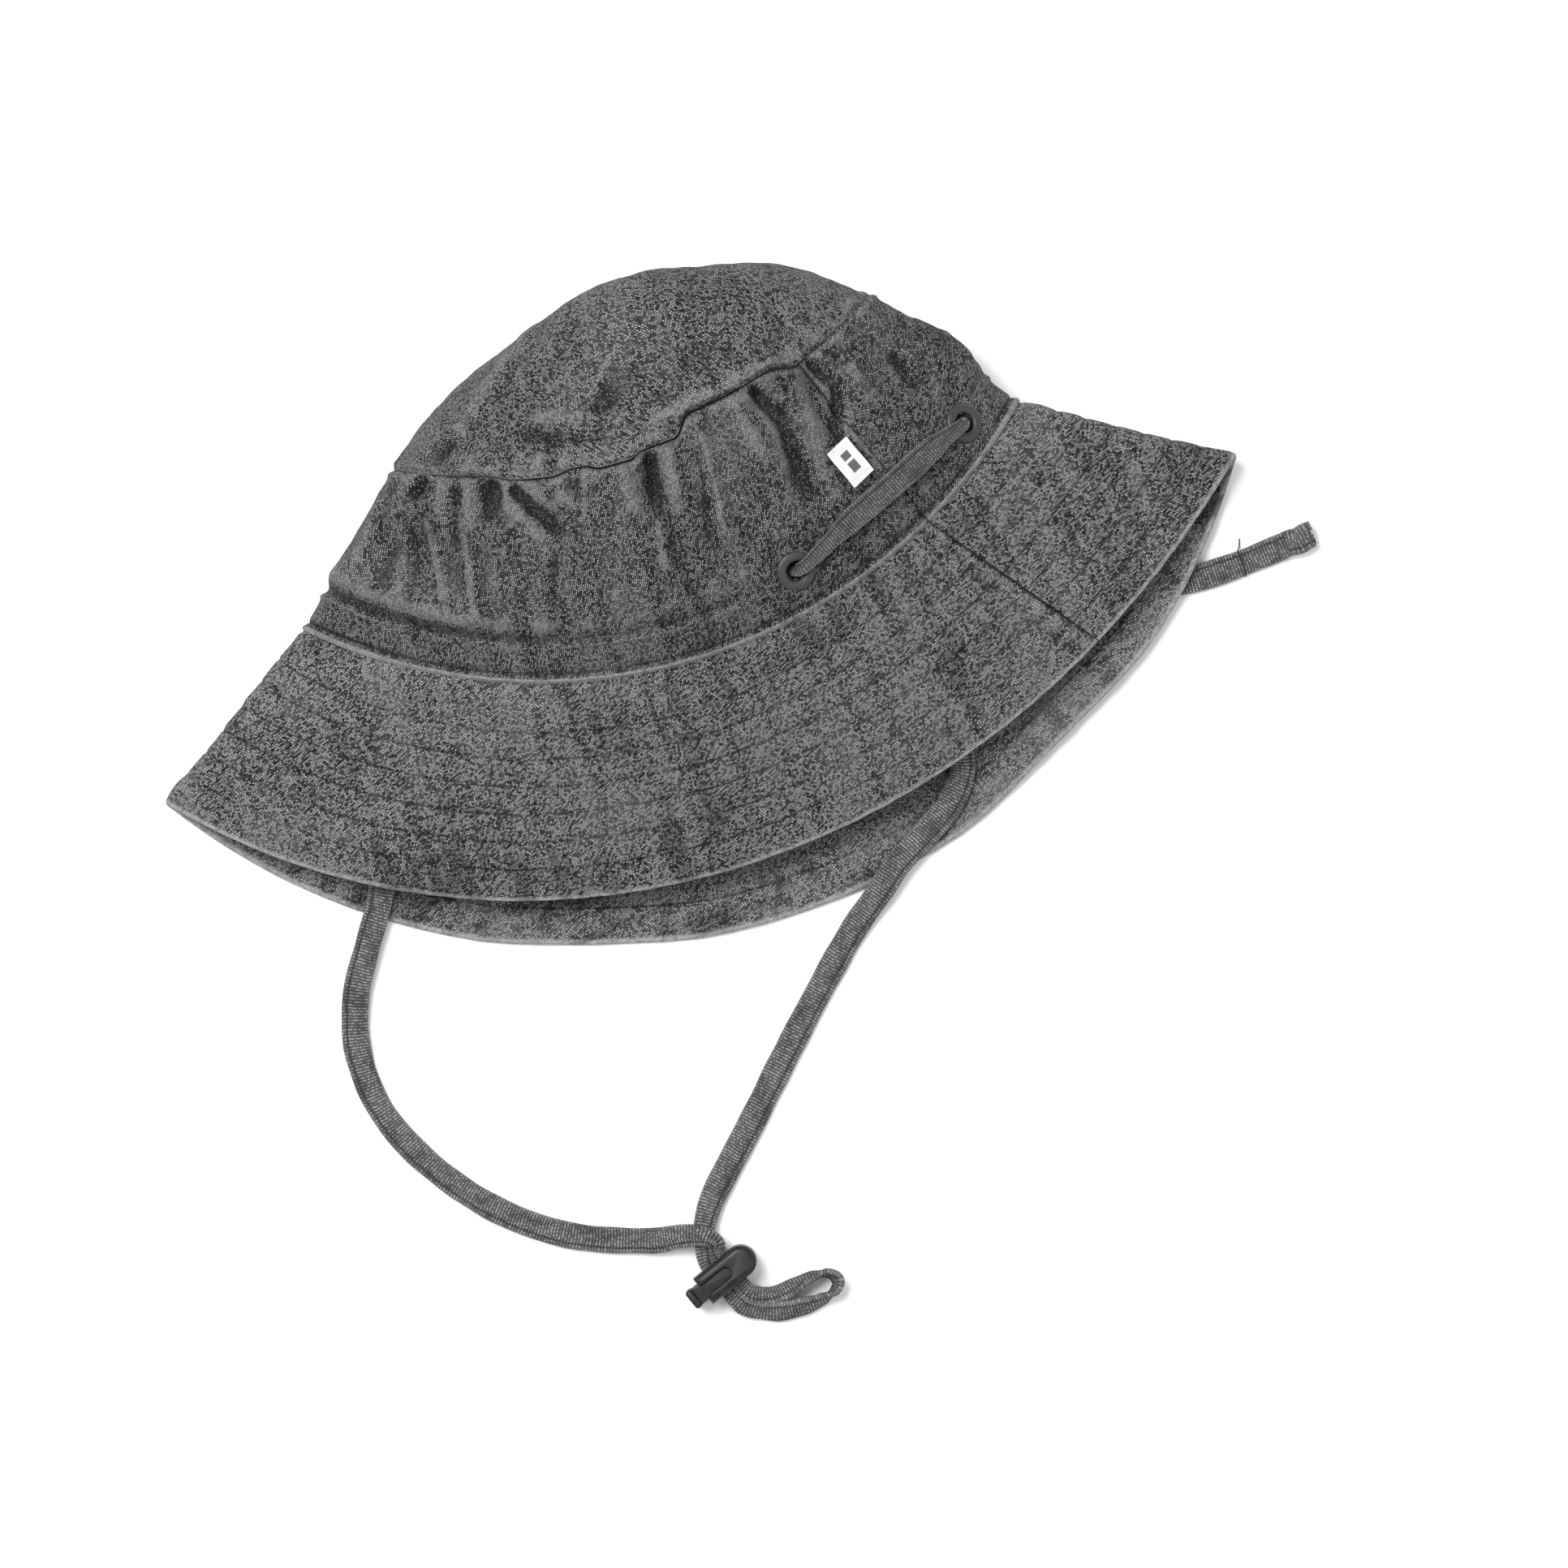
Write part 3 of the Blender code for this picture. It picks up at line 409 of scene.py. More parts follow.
# ---------------------------------------------------------------- the hat's rings

APEX_Y = 149.35
BASE_RADIUS = 165.0
BRIM_WIDTH = 66.5
CROWN_SIDE = 54.0
CROWN_TOP = np.array((15.0, 98.7, 27.0))
LIE_HEIGHT = 50.0
CROWN_BULGE = 7.0
BRIM_FLAT_FROM = 0.55
LIFT_FROM, LIFT_FULL = 12.0, 25.0
SEAM_ANGLE = 51.0
HALVES = (("front", SEAM_ANGLE), ("back", SEAM_ANGLE + 180.0))
PROBE = 0.01
CLOTH, LINING, STIFFENER, PLY_GAP, BAND_GAP = 0.8, 0.6, 0.5, 0.3, 0.6
HEM_LAP = 0.9                  # the side crown's hem covers the brim's start
SHOWN_GAP = 0.12               # gap left between panels where the seam draws them together
BAND_HEIGHT = 20.0
INNER = CLOTH + PLY_GAP        # depth at which the ply behind the outer cloth starts
STRAP_WIDTH, STRAP_THICK = 8.0, 2.4


def smooth(x):
    x = np.clip(x, 0.0, 1.0)
    return x * x * (3.0 - 2.0 * x)


class Ring:
    """One ring of the hat: an arc about the apex, folded at both ends."""

    def __init__(self, half, shift, ends, near, far, fold_z, fold_r, top_z, far_z,
                 skew=0.0, lift=0.0, jogs=(), jog_side=1):
        self.jogs, self.jog_side = jogs, jog_side
        self.half, self.shift = half, shift
        self.ends, self.near, self.far = ends, near, far
        self.fold_z, self.fold_r = fold_z, fold_r
        self.top_z, self.far_z = top_z, far_z
        self.skew, self.lift = skew, lift

    def turn(self, u):
        inset = self.ends * math.radians(self.half) * (1.0 - np.abs(np.cos(u)))
        left = 1.0 - np.minimum(inset / self.fold_r, 1.0)
        return np.sqrt(1.0 - left * left)

    def point(self, u):
        c, s = np.cos(u), np.sin(u)
        phi = np.radians(self.shift + self.half * c)
        near = s > 0.0
        radius = self.ends + (np.where(near, self.near, self.far) - self.ends) * s * s
        radius = radius + np.where(near, self.skew * c * s * s, 0.0)
        for start, end, ease, shift in self.jogs:
            bump = smooth((phi - start) / ease) * (1.0 - smooth((phi - end) / ease))
            radius = radius + np.where(s * self.jog_side > 0.0, shift * bump * s * s, 0.0)
        raised = self.lift * smooth((self.half * c - LIFT_FROM) / (LIFT_FULL - LIFT_FROM))
        crest = self.top_z - self.fold_z - self.fold_r
        z_near = self.fold_z + self.fold_r * self.turn(u) + crest * s * s
        z_near = z_near + raised * (1.0 - s * s)
        z_far = self.fold_z - (self.fold_z - self.far_z) * self.turn(u) + raised
        z = np.where(near, z_near, z_far)
        return np.stack((radius * np.sin(phi), APEX_Y - radius * np.cos(phi), z), -1)

    def angle(self, u):
        return np.radians(self.shift + self.half * np.cos(u))


BASE = Ring(43.0, -0.3, BASE_RADIUS, BASE_RADIUS + 1.0, BASE_RADIUS + 8.0,
            14.0, 10.0, LIE_HEIGHT, 6.0)
EDGE_RADIUS = BASE_RADIUS + BRIM_WIDTH
EDGE = Ring(47.2, 0.0, EDGE_RADIUS, EDGE_RADIUS - 2.0, EDGE_RADIUS + 16.5,
            5.5, 5.5, 16.0, 0.0, skew=-6.0, lift=STRAP_THICK + 1.1,
            jogs=((0.22, 0.42, 0.18, -3.8), (-0.40, -0.22, 0.12, -1.3)), jog_side=-1)
TIP_RADIUS = BASE_RADIUS - CROWN_SIDE
TIP = Ring(43.4, 2.3, TIP_RADIUS, TIP_RADIUS - 8.5, TIP_RADIUS + 2.0,
           22.0, 18.0, LIE_HEIGHT + 8.0, 0.0,
           jogs=((0.10, 0.44, 0.07, -5.2), (-0.44, -0.27, 0.06, 1.8), (-0.17, -0.04, 0.04, 1.6)))
TIP_REACH = {"right": 26.0, "left": 46.5, "near": 31.0, "far": 24.0}


def unit(vectors):
    return vectors / np.maximum(np.linalg.norm(vectors, axis=-1, keepdims=True), 1e-9)


def lerp(a, b, share):
    return a + (b - a) * np.asarray(share)[..., None]


def brim_point(u, w):
    a, b = BASE.point(u), EDGE.point(u)
    point = lerp(a, b, w)
    slope = np.maximum(0.0, 1.0 - w / BRIM_FLAT_FROM)
    share = w + (1.0 - slope * slope - w) * EDGE.turn(u)
    z = a[..., 2] + (b[..., 2] - a[..., 2]) * share
    point[..., 2] = np.where(np.sin(u) < 0.0, z, point[..., 2])
    return point


def crown_point(u, v):
    point = lerp(BASE.point(u), TIP.point(u), v)
    point[..., 2] += CROWN_BULGE * 4.0 * v * (1.0 - v) * np.maximum(np.sin(u), 0.0) ** 2
    return point


def tip_point(u, t):
    c, s = np.cos(u), np.sin(u)
    across = np.where(c > 0.0, TIP_REACH["right"], TIP_REACH["left"])
    up = np.where(s > 0.0, TIP_REACH["near"], TIP_REACH["far"])
    zero = np.zeros_like(c)
    guide = CROWN_TOP + np.stack((across * c, zero, up * s), -1)
    t = np.asarray(t)[..., None]
    r = 1.0 - t
    return TIP.point(u) * r * r + guide * 2.0 * t * r + CROWN_TOP * t * t


def outward(surface, u, v):
    along = surface(u + PROBE, v) - surface(u - PROBE, v)
    step = np.where(v < 0.5, PROBE, -PROBE)
    rise = (surface(u, v + step) - surface(u, v)) / step[..., None]
    if surface is brim_point:
        rise = -rise
    return unit(np.cross(rise, along))


def one(surface, u, v):
    """A single point and normal of a surface, as Vectors."""
    u, v = np.array([u]), np.array([v])
    return Vector(surface(u, v)[0]), Vector(outward(surface, u, v)[0])


QUARTER = np.array([math.pi / 2])
SIDE_HEIGHT = float(np.linalg.norm(crown_point(QUARTER, np.array([1.0]))
                                   - crown_point(QUARTER, np.array([0.0]))))
TIP_DEPTH = 2.0 * float(np.linalg.norm(CROWN_TOP + np.array((0, 0, TIP_REACH["near"]))
                                       - TIP.point(QUARTER)[0]))


# ---------------------------------------------------------------- eyelets' places

EYELET_HEIGHT, EYELET_BORE, EYELET_WALL, EYELET_FLANGE, EYELET_DOME = 11.5, 3.0, 0.6, 6.0, 0.9
WASHER_GAP, WASHER = 1.0, 0.5
MIRROR = 2 * SEAM_ANGLE + 180.0
FRONT, BACK = 73.6, 30.3       # degrees of u at the near eyelets
EYELET_ANGLES = {"near_front": FRONT, "near_back": BACK, "far_front": MIRROR - FRONT,
                 "far_back": MIRROR - BACK}
STACK = CLOTH + PLY_GAP + LINING + BAND_GAP + CLOTH
BARREL = EYELET_BORE + EYELET_WALL
BARREL_END = STACK + WASHER_GAP + WASHER + 2 * PLY_GAP + EYELET_WALL


def surface_frame(surface, u, v):
    z = one(surface, u, v)[1]
    along = one(surface, u + PROBE, v)[0] - one(surface, u - PROBE, v)[0]
    x = (along - z * along.dot(z)).normalized()
    made = Matrix((x, z.cross(x), z)).transposed().to_4x4()
    made.translation = one(surface, u, v)[0]
    return made


def eyelet_frame(place):
    return surface_frame(crown_point, math.radians(EYELET_ANGLES[place]),
                         EYELET_HEIGHT / SIDE_HEIGHT)


EYELETS = {place: eyelet_frame(place) for place in EYELET_ANGLES}


# ---------------------------------------------------------------- relief of the cloth

def waves(x, y, length, seed, count=7):
    """Smooth random relief between about -1 and 1, with features of about a given length."""
    rng = np.random.default_rng(RNG_SEED + seed)
    total = 0.0
    for _ in range(count):
        a = rng.uniform(0, FULL)
        k = FULL / (length * rng.uniform(0.7, 1.5))
        total = total + np.sin((x * math.cos(a) + y * math.sin(a)) * k + rng.uniform(0, FULL))
    return total / math.sqrt(count)


def bell(distance, width):
    return np.exp(-(distance / width) ** 2)


# Creases of the near cloth, seen from above: start, end, half width, height, in millimetres
CROWN_CREASES = (
    ((-63, 62), (-72, 54), 2.0, -4.5), ((-56, 61), (-66, 42), 2.4, 2.0),
    ((-44, 58), (-50, 40), 3.0, -7.0), ((-40, 54), (-39, 44), 1.8, -3.0), ((-39, 46), (-30, 30), 2.2, -5.0),
    ((-51, 56), (-57, 38), 2.4, 2.4), ((-34, 52), (-35, 38), 2.2, 1.8), ((-27, 42), (-22, 34), 2.2, 1.2),
    ((2, 47), (-2, 26), 2.6, -7.0), ((9, 52), (5, 24), 3.2, 2.6), ((-6, 46), (-10, 26), 3.0, 2.0),
    ((37, 55), (43, 42), 2.4, -6.5), ((43, 43), (44, 14), 3.0, -6.0), ((50, 50), (51, 28), 2.6, 3.0),
    ((30, 54), (34, 28), 3.2, 2.8), ((54, 60), (61, 47), 1.8, -4.6), ((61, 47), (58, 34), 2.0, -4.4),
    ((66, 52), (74, 32), 3.5, 2.2), ((80, 52), (86, 34), 3.0, -2.0), ((57, 34), (70, 8), 2.4, -3.2),
    ((-67, 46), (-69, 16), 1.4, 1.6), ((-58, 40), (-62, 8), 1.4, 1.5), ((-18, 46), (-26, 22), 1.4, 1.5),
    ((-2, 24), (-6, 4), 1.5, 0.9), ((18, 44), (16, 12), 1.8, 1.0), ((-78, 44), (-90, 26), 3.5, -2.2),
    ((-80, 58), (-91, 38), 2.2, 2.0), ((-73, 44), (-78, 22), 2.4, -1.4), ((-34, 26), (-42, 8), 2.4, -0.9),
    ((14, 30), (10, 8), 2.6, -1.2),
)
TIP_CREASES = (
    ((-21, 92), (-54, 66), 2.4, 2.6), ((-10, 84), (-40, 62), 6.5, -1.7),
    ((-52, 67), (-66, 62), 2.4, -1.4), ((-6, 68), (0, 62), 13.0, -2.8),
    ((-32, 62), (-14, 54), 3.5, -1.4), ((-26, 66), (4, 54), 4.0, 0.8), ((8, 55), (34, 55), 3.0, 1.5),
    ((36, 54), (60, 66), 3.5, 1.5), ((14, 82), (30, 92), 8.0, 1.2), ((20, 68), (40, 72), 6.0, -1.2),
)


def creases(point, table):
    """Height of a list of straight, tapering creases at points seen from above."""
    total = 0.0
    for (x0, y0), (x1, y1), width, height in table:
        dx, dy = x1 - x0, y1 - y0
        length2 = dx * dx + dy * dy
        px, py = point[..., 0] - x0, point[..., 1] - y0
        t = (px * dx + py * dy) / length2
        off = (px * dy - py * dx) / math.sqrt(length2)
        taper = smooth((t + 0.25) / 0.35) * (1.0 - smooth((t - 0.45) / 0.7))
        total += height * taper * bell(off, width * (0.8 + 0.5 * np.clip(t, 0, 1)))
    return total


EYELET_CLEAR, EYELET_EASE = 6.5, 6.0        # flat round an eyelet, and how soon relief returns
STRAP_CLEAR, STRAP_EASE, UNDER_STRAP = 6.0, 8.0, 0.25
BRIM_SPREAD, CROWN_SPREAD = 150.0, 100.0    # millimetres along a ring to a radian of u


def clear_of_eyelets(point):
    """0 on the eyelets and under the strap between the near ones, 1 away from them."""
    near = np.ones(point.shape[:-1])
    for place in EYELETS.values():
        distance = np.linalg.norm(point - np.array(place.translation), axis=-1)
        near = near * smooth((distance - EYELET_CLEAR) / EYELET_EASE)
    a = np.array(EYELETS["near_front"].translation)
    b = np.array(EYELETS["near_back"].translation)
    t = np.clip(((point - a) @ (b - a)) / ((b - a) @ (b - a)), 0.0, 1.0)
    away = np.linalg.norm(point - (a + t[..., None] * (b - a)), axis=-1)
    return near * (UNDER_STRAP + (1.0 - UNDER_STRAP) * smooth((away - STRAP_CLEAR) / STRAP_EASE))


def brim_relief(u, w, point, across, along):
    """across: distance from the edge; along: distance along the edge."""
    near = np.sin(u) > 0.0
    relief = 0.9 * waves(point[..., 0], point[..., 1], 62.0, 1)
    relief = relief * np.where(near, 1.0, 0.35) * smooth(across / 14.0) * smooth(w * 6)
    first, last, pitch = BRIM_ROWS
    step = (across - first) / pitch
    rows = np.abs(step - np.round(step)) * pitch
    rows = np.where((across > first - 5.0) & (across < last + 4.5), rows, pitch)
    relief = relief - 0.42 * bell(rows, 0.8)
    pucker = waves(along, across * 0.25, 8.0, 2)
    relief = relief + np.where(near, 0.3, 0.8) * pucker * bell(across - 6.0, 7.0)
    relief += 0.13 * waves(along, across, 6.5, 3) * smooth(across / 6.0)
    relief += 0.24 * waves(along, across * 0.12, 13.0, 4) * smooth(across / 6.0)
    for _, seam in HALVES:
        off = (u - math.radians(seam)) * BRIM_SPREAD
        tug = 0.8 * waves(off * 0.4, across, 7.0, 5)
        relief = relief + bell(np.abs(off) - 3.2, 2.0) * (0.7 + tug) - 0.95 * bell(off, 1.2)
        worn = np.maximum(waves(off * 0.3, across, 5.0, 7), 0.0)
        relief = relief + 0.6 * worn * bell(np.abs(off) - 4.5, 3.0)
    base = across.max(axis=1, keepdims=True) - across
    return relief * smooth(base / 3.0) - 0.75 * bell(base - 0.6, 1.3)


def crown_relief(u, _, point, across, along):
    """across: distance from the base seam. Every relief takes the same five arguments."""
    near = np.maximum(np.sin(u), 0.0)
    left = smooth((-np.cos(u) - 0.3) / 0.5)
    relief = creases(point, CROWN_CREASES) * smooth(near * 3.0)
    below = across.max(axis=1, keepdims=True) - across
    relief += 0.5 * waves(along, below * 0.3, 13.0, 11) * bell(below, 15.0)
    relief += 0.2 * waves(along, across * 0.35, 8.5, 12) * smooth((across - 12.0) / 10.0)
    relief += 0.16 * waves(point[..., 0], point[..., 1], 6.0, 13)
    fold = 1.0 - smooth(np.abs(np.sin(u)) * 2.2)
    right = smooth(np.cos(u) * 4.0)
    relief = relief + fold * right * 4.2 * bell(across - 27.0, 13.0)
    relief = relief * smooth(below / 2.0) * smooth((across - 9.0) / 6.0)
    bulge = smooth((across - 12.6) / 7.0) * (1.0 - smooth((across - 18.0) / 20.0))
    relief += (0.9 + 3.0 * left) * bulge * smooth(near * 4.0)
    band = 1.0 - smooth((across - 10.5) / 2.5)
    relief = relief + band * (0.12 * waves(along, across, 9.0, 14) - 0.35)
    relief = relief + 0.75 * bell(across - 11.0, 0.8) - (0.5 + 0.5 * left) * bell(across - 13.6, 1.6)
    relief = relief - 0.55 * bell(across - 2.2, 0.6)
    relief = relief * clear_of_eyelets(point)
    hem = 1.0 * bell(across + 0.3, 1.0)
    for _, seam in HALVES:
        off = (u - math.radians(seam)) * CROWN_SPREAD
        tug = 0.3 * waves(off * 0.4, across, 6.0, 15)
        sewn = bell(np.abs(off) - 2.6, 1.5) * (0.4 + tug) - 0.8 * bell(off, 0.9)
        relief += sewn * clear_of_eyelets(point)
    return relief + hem - 0.6 * bell(below, 0.6) + 0.6 * bell(below - 1.7, 0.9)


def tip_relief(u, t, point, across, along):
    """across: distance from the tip's seam."""
    near = np.maximum(np.sin(u), 0.0)
    relief = creases(point, TIP_CREASES) * smooth(near * 2.0)
    relief += 0.55 * waves(along, across * 0.25, 10.0, 21) * bell(across, 10.0)
    relief += 0.9 * waves(point[..., 0], point[..., 1], 42.0, 22) * smooth(across / 14.0)
    relief += 0.14 * waves(point[..., 0], point[..., 1], 6.0, 23)
    relief = relief * smooth(across / 1.5) * smooth((1.0 - t) / 0.15)
    return relief + 0.3 * bell(across - 2.0, 1.6) - 0.6 * bell(across, 0.6)


# ---------------------------------------------------------------- sheets of cloth

FINE = 1.0                     # mesh step of the cloth
BAND_STEP = 2.0                # mesh step of the sweatband
BRIM_BODY = 0.975              # share of the brim with even columns, before the finer edge
STIFFENER_END = 0.96           # share of the brim at which the interlining ends
HEM_ROUND = 0.7                # radius of the hem's turned edge
SEAM_OPEN = 0.0012             # radians left open on each side of a side seam
LEAST_Z = 0.02                 # lowest that cloth may lie above the surface
STRAP_LEAST_Z = 0.03
WELD = 1e-7                    # metres within which vertices are joined
CLOTH_SHARP = 50               # degrees from which an edge counts as sharp


def even_angles(surface, v, first, last, step):
    """Angles from first to last at even steps along a ring of the surface."""
    u = np.linspace(first, last, 6000)
    ring = surface(u, np.full_like(u, v))
    run = runs_along(ring, 0)
    count = max(8, int(round(run[-1] / step)))
    return np.interp(np.linspace(0, run[-1], count + 1), run, u)


def runs_along(points, axis):
    """Distance along one axis of a grid of points."""
    lengths = np.linalg.norm(np.diff(points, axis=axis), axis=-1)
    total = np.cumsum(lengths, axis=axis)
    start = np.zeros_like(np.take(total, [0], axis=axis))
    return np.concatenate((start, total), axis=axis)


def low_pass(field, closed, reach=4):
    """Average over neighbours, to tell ridges from hollows."""
    for axis in (0, 1):
        mode = "wrap" if closed and axis == 0 else "edge"
        pad = [(0, 0), (0, 0)]
        pad[axis] = (reach, reach)
        padded = np.pad(field, pad, mode=mode)
        total = 0.0
        for k in range(2 * reach + 1):
            total += np.take(padded, range(k, k + field.shape[axis]), axis=axis)
        field = total / (2 * reach + 1)
    return field


class Sheet:
    """A grid over one of the hat's surfaces, with its relief and its maps."""

    def __init__(self, surface, relief, us, vs, closed=False):
        self.closed = closed
        self.u, self.v = np.meshgrid(us, vs, indexing="ij")
        flat = surface(self.u, self.v)
        normal = outward(surface, self.u, self.v)
        if surface is tip_point:
            normal[:, -1] = (0.0, 1.0, 0.0)
        across = runs_along(flat, 1)
        at_edge = surface is brim_point
        first = self.u[:, :1]
        ring = surface(first, np.full_like(first, 1.0 if at_edge else 0.0))
        if at_edge:
            across = across[:, -1:] - across + np.linalg.norm(ring - flat[:, -1:], axis=-1)
        else:
            across = across + np.sign(vs[0]) * np.linalg.norm(ring - flat[:, :1], axis=-1)
        self.across, self.along = np.broadcast_arrays(across, runs_along(ring, 0))
        self.height = relief(self.u, self.v, flat, self.across, self.along)
        self.flat, self.normal = flat, normal
        self.grain = self.lay_grain(surface)
        self.ridges = self.height - low_pass(self.height, closed)

    def lay_grain(self, surface):
        """Flat cloth coordinates: the hat's cone rolled out, or the tip's disc."""
        if surface is tip_point:
            left = self.across[:, -1:] - self.across
            return np.stack((left * np.cos(self.u), left * np.sin(self.u)), -1)
        full = EDGE_RADIUS if surface is brim_point else BASE_RADIUS
        radius = full - self.across
        seam = math.radians(SEAM_ANGLE)
        start = np.argmin(1.0 - np.cos(self.u[:, 0] - seam))
        angle = BASE.angle(seam) - (self.along - self.along[start]) / full
        return np.stack((radius * np.sin(angle), -radius * np.cos(angle)), -1)

    def part(self, first, last=None):
        """The same sheet between two of its columns."""
        made = copy.copy(self)
        for name in ("u", "v", "flat", "normal", "across", "along", "height", "grain", "ridges"):
            setattr(made, name, getattr(self, name)[:, first:last])
        return made

    def layer(self, depth):
        point = self.flat + self.normal * (self.height - depth)[..., None]
        point[..., 2] = np.maximum(point[..., 2], LEAST_Z)
        return point


def punched(centres):
    """True where a face lies over an eyelet's bore."""
    hit = np.zeros(len(centres), bool)
    for place in EYELETS.values():
        z = np.array(place.col[2][:3])
        off = centres - np.array(place.translation)
        height = off @ z
        radial = np.linalg.norm(off - height[:, None] * z, axis=-1)
        hit |= (radial < BARREL - 0.3) & (np.abs(height) < 8.0)
    return hit


def stand_for(made, nodes, body="root"):
    """Hides the CAD nodes that a piece replaces and attaches it to the body it rides on."""
    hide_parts(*nodes)
    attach(made, body)
    return made


def shaded(name, bm, finish, sharp, mesh=None):
    """The object made from a bmesh, smooth except at its sharp edges."""
    mesh = mesh or bpy.data.meshes.new(name)
    bmesh.ops.recalc_face_normals(bm, faces=bm.faces)
    bm.to_mesh(mesh)
    bm.free()
    mesh.shade_smooth()
    mesh.set_sharp_from_angle(angle=math.radians(sharp))
    mesh.materials.append(finish)
    return add_object(name, mesh)


def write_mesh(name, verts, faces, maps, points, finish):
    """A mesh in metres from points in millimetres, with UV maps and point attributes."""
    mesh = bpy.data.meshes.new(name)
    mesh.from_pydata(verts * MM, [], faces)
    index = np.empty(len(mesh.loops), np.int32)
    mesh.loops.foreach_get("vertex_index", index)
    for label, values in maps.items():
        layer = mesh.uv_layers.new(name=label)
        layer.data.foreach_set("uv", values[index].astype(np.float32).ravel())
    for label, values in points.items():
        layer = mesh.attributes.new(label, "FLOAT", "POINT")
        layer.data.foreach_set("value", values.astype(np.float32))
    bm = bmesh.new()
    bm.from_mesh(mesh)
    bmesh.ops.remove_doubles(bm, verts=bm.verts, dist=WELD)
    return shaded(name, bm, finish, CLOTH_SHARP, mesh)


def slab_faces(n, m, closed=False):
    """Quads of a closed slab: two grids of n by m points, joined at their borders."""
    index = np.arange(2 * n * m).reshape(2, n, m)
    i = np.arange(n if closed else n - 1)[:, None]
    j = (i + 1) % n
    k = np.arange(m - 1)
    quads = [np.stack((face[i, k], face[j, k], face[j, k + 1], face[i, k + 1]), -1)
             for face in index]
    quads += [np.stack((index[0][i, edge], index[1][i, edge], index[1][j, edge],
                        index[0][j, edge]), -1) for edge in (0, m - 1)]
    if not closed:
        quads += [np.stack((index[0][end, k], index[0][end, k + 1], index[1][end, k + 1],
                            index[1][end, k]), -1) for end in (0, n - 1)]
    return np.concatenate([quad.reshape(-1, 4) for quad in quads])


def add_sheet(node, suffix, sheet, outer, inner, finish):
    """A closed ply between two layers of a sheet; outer and inner are depths."""
    n, m = sheet.u.shape
    verts = np.concatenate([sheet.layer(depth).reshape(-1, 3) for depth in (outer, inner)])
    quads = slab_faces(n, m, sheet.closed)
    quads = quads[~punched(verts[quads].mean(axis=1))]
    rows = np.stack((sheet.along, sheet.across), -1)
    grain, rows, ridges = (np.tile(field.reshape(n * m, -1), (2, 1))
                           for field in (sheet.grain, rows, sheet.ridges))
    made = write_mesh(f"{node}_{suffix}", verts, quads.tolist(), {"grain": grain, "rows": rows},
                      {"relief": ridges[:, 0]}, finish)
    return stand_for(made, [node])


def spread(first, last, count):
    return np.linspace(first, last, count + 1)


def rolled(across, depth, thick):
    """Depth of a ply where the brim's edge rolls over its middle."""
    half = 0.5 * thick
    inset = np.clip(half - across, 0.0, half)
    round_off = half - np.sqrt(half * half - inset * inset)
    return np.where(depth < half, np.maximum(depth, round_off),
                    np.minimum(depth, thick - round_off))


def half_angles(surface, v, start):
    """Angles from one side seam to the other, a small gap short of each."""
    first = math.radians(start) + SEAM_OPEN
    return even_angles(surface, v, first, first + math.pi - 2 * SEAM_OPEN, FINE)


def build_brim(denim_out, denim_in, stiff):
    total = INNER + STIFFENER + PLY_GAP + CLOTH
    body = spread(SHOWN_GAP / BRIM_WIDTH, BRIM_BODY, 54)
    edge = 1.0 - (1.0 - BRIM_BODY) * (1.0 - spread(0, 1, 6)[1:]) ** 2
    vs = np.concatenate((body, edge))
    for half, start in HALVES:
        fine = Sheet(brim_point, brim_relief, half_angles(brim_point, 0.8, start), vs)
        top, top_in, under_in, under = (rolled(fine.across, depth, total)
                                        for depth in (0.0, CLOTH, total - CLOTH, total))
        add_sheet("brim_upper_" + half, "denim", fine, top, top_in, denim_out)
        add_sheet("brim_under_" + half, "denim", fine, under_in, under, denim_in)
        core = fine.part(0, int(np.searchsorted(vs, STIFFENER_END)))
        add_sheet("brim_interlining_" + half, "felt", core, INNER, INNER + STIFFENER, stiff)


def build_crown(denim_side, denim_tip, denim_in, lining):
    inset = SHOWN_GAP / SIDE_HEIGHT
    vs = spread(-HEM_LAP / SIDE_HEIGHT, 1.0 - inset, 58)
    for half, start in HALVES:
        side = Sheet(crown_point, crown_relief, half_angles(crown_point, 0.3, start), vs)
        turn = np.clip(HEM_ROUND - HEM_LAP - side.across, 0, HEM_ROUND)
        hem = HEM_ROUND - np.sqrt(HEM_ROUND ** 2 - turn ** 2)
        add_sheet("crown_side_" + half, "denim", side, hem, CLOTH, denim_side)
        inner = side.part(int(np.searchsorted(vs, inset)))
        add_sheet("crown_side_lining_" + half, "cotton", inner, INNER, INNER + LINING, lining)
    us = even_angles(crown_point, 0.1, 0.0, FULL, BAND_STEP)[:-1]
    band = Sheet(crown_point, crown_relief, us, spread(inset, BAND_HEIGHT / SIDE_HEIGHT, 14), True)
    depth = INNER + LINING + BAND_GAP
    add_sheet("sweatband", "denim", band, depth, depth + CLOTH, denim_in)
    us = even_angles(tip_point, 0.1, 0.0, FULL, FINE)[:-1]
    tip = Sheet(tip_point, tip_relief, us, spread(SHOWN_GAP / TIP_DEPTH, 1.0, 60), True)
    add_sheet("crown_tip", "denim", tip, 0.0, CLOTH, denim_tip)
    add_sheet("crown_tip_lining", "cotton", tip, INNER, INNER + LINING, lining)


# ---------------------------------------------------------------- strap routes

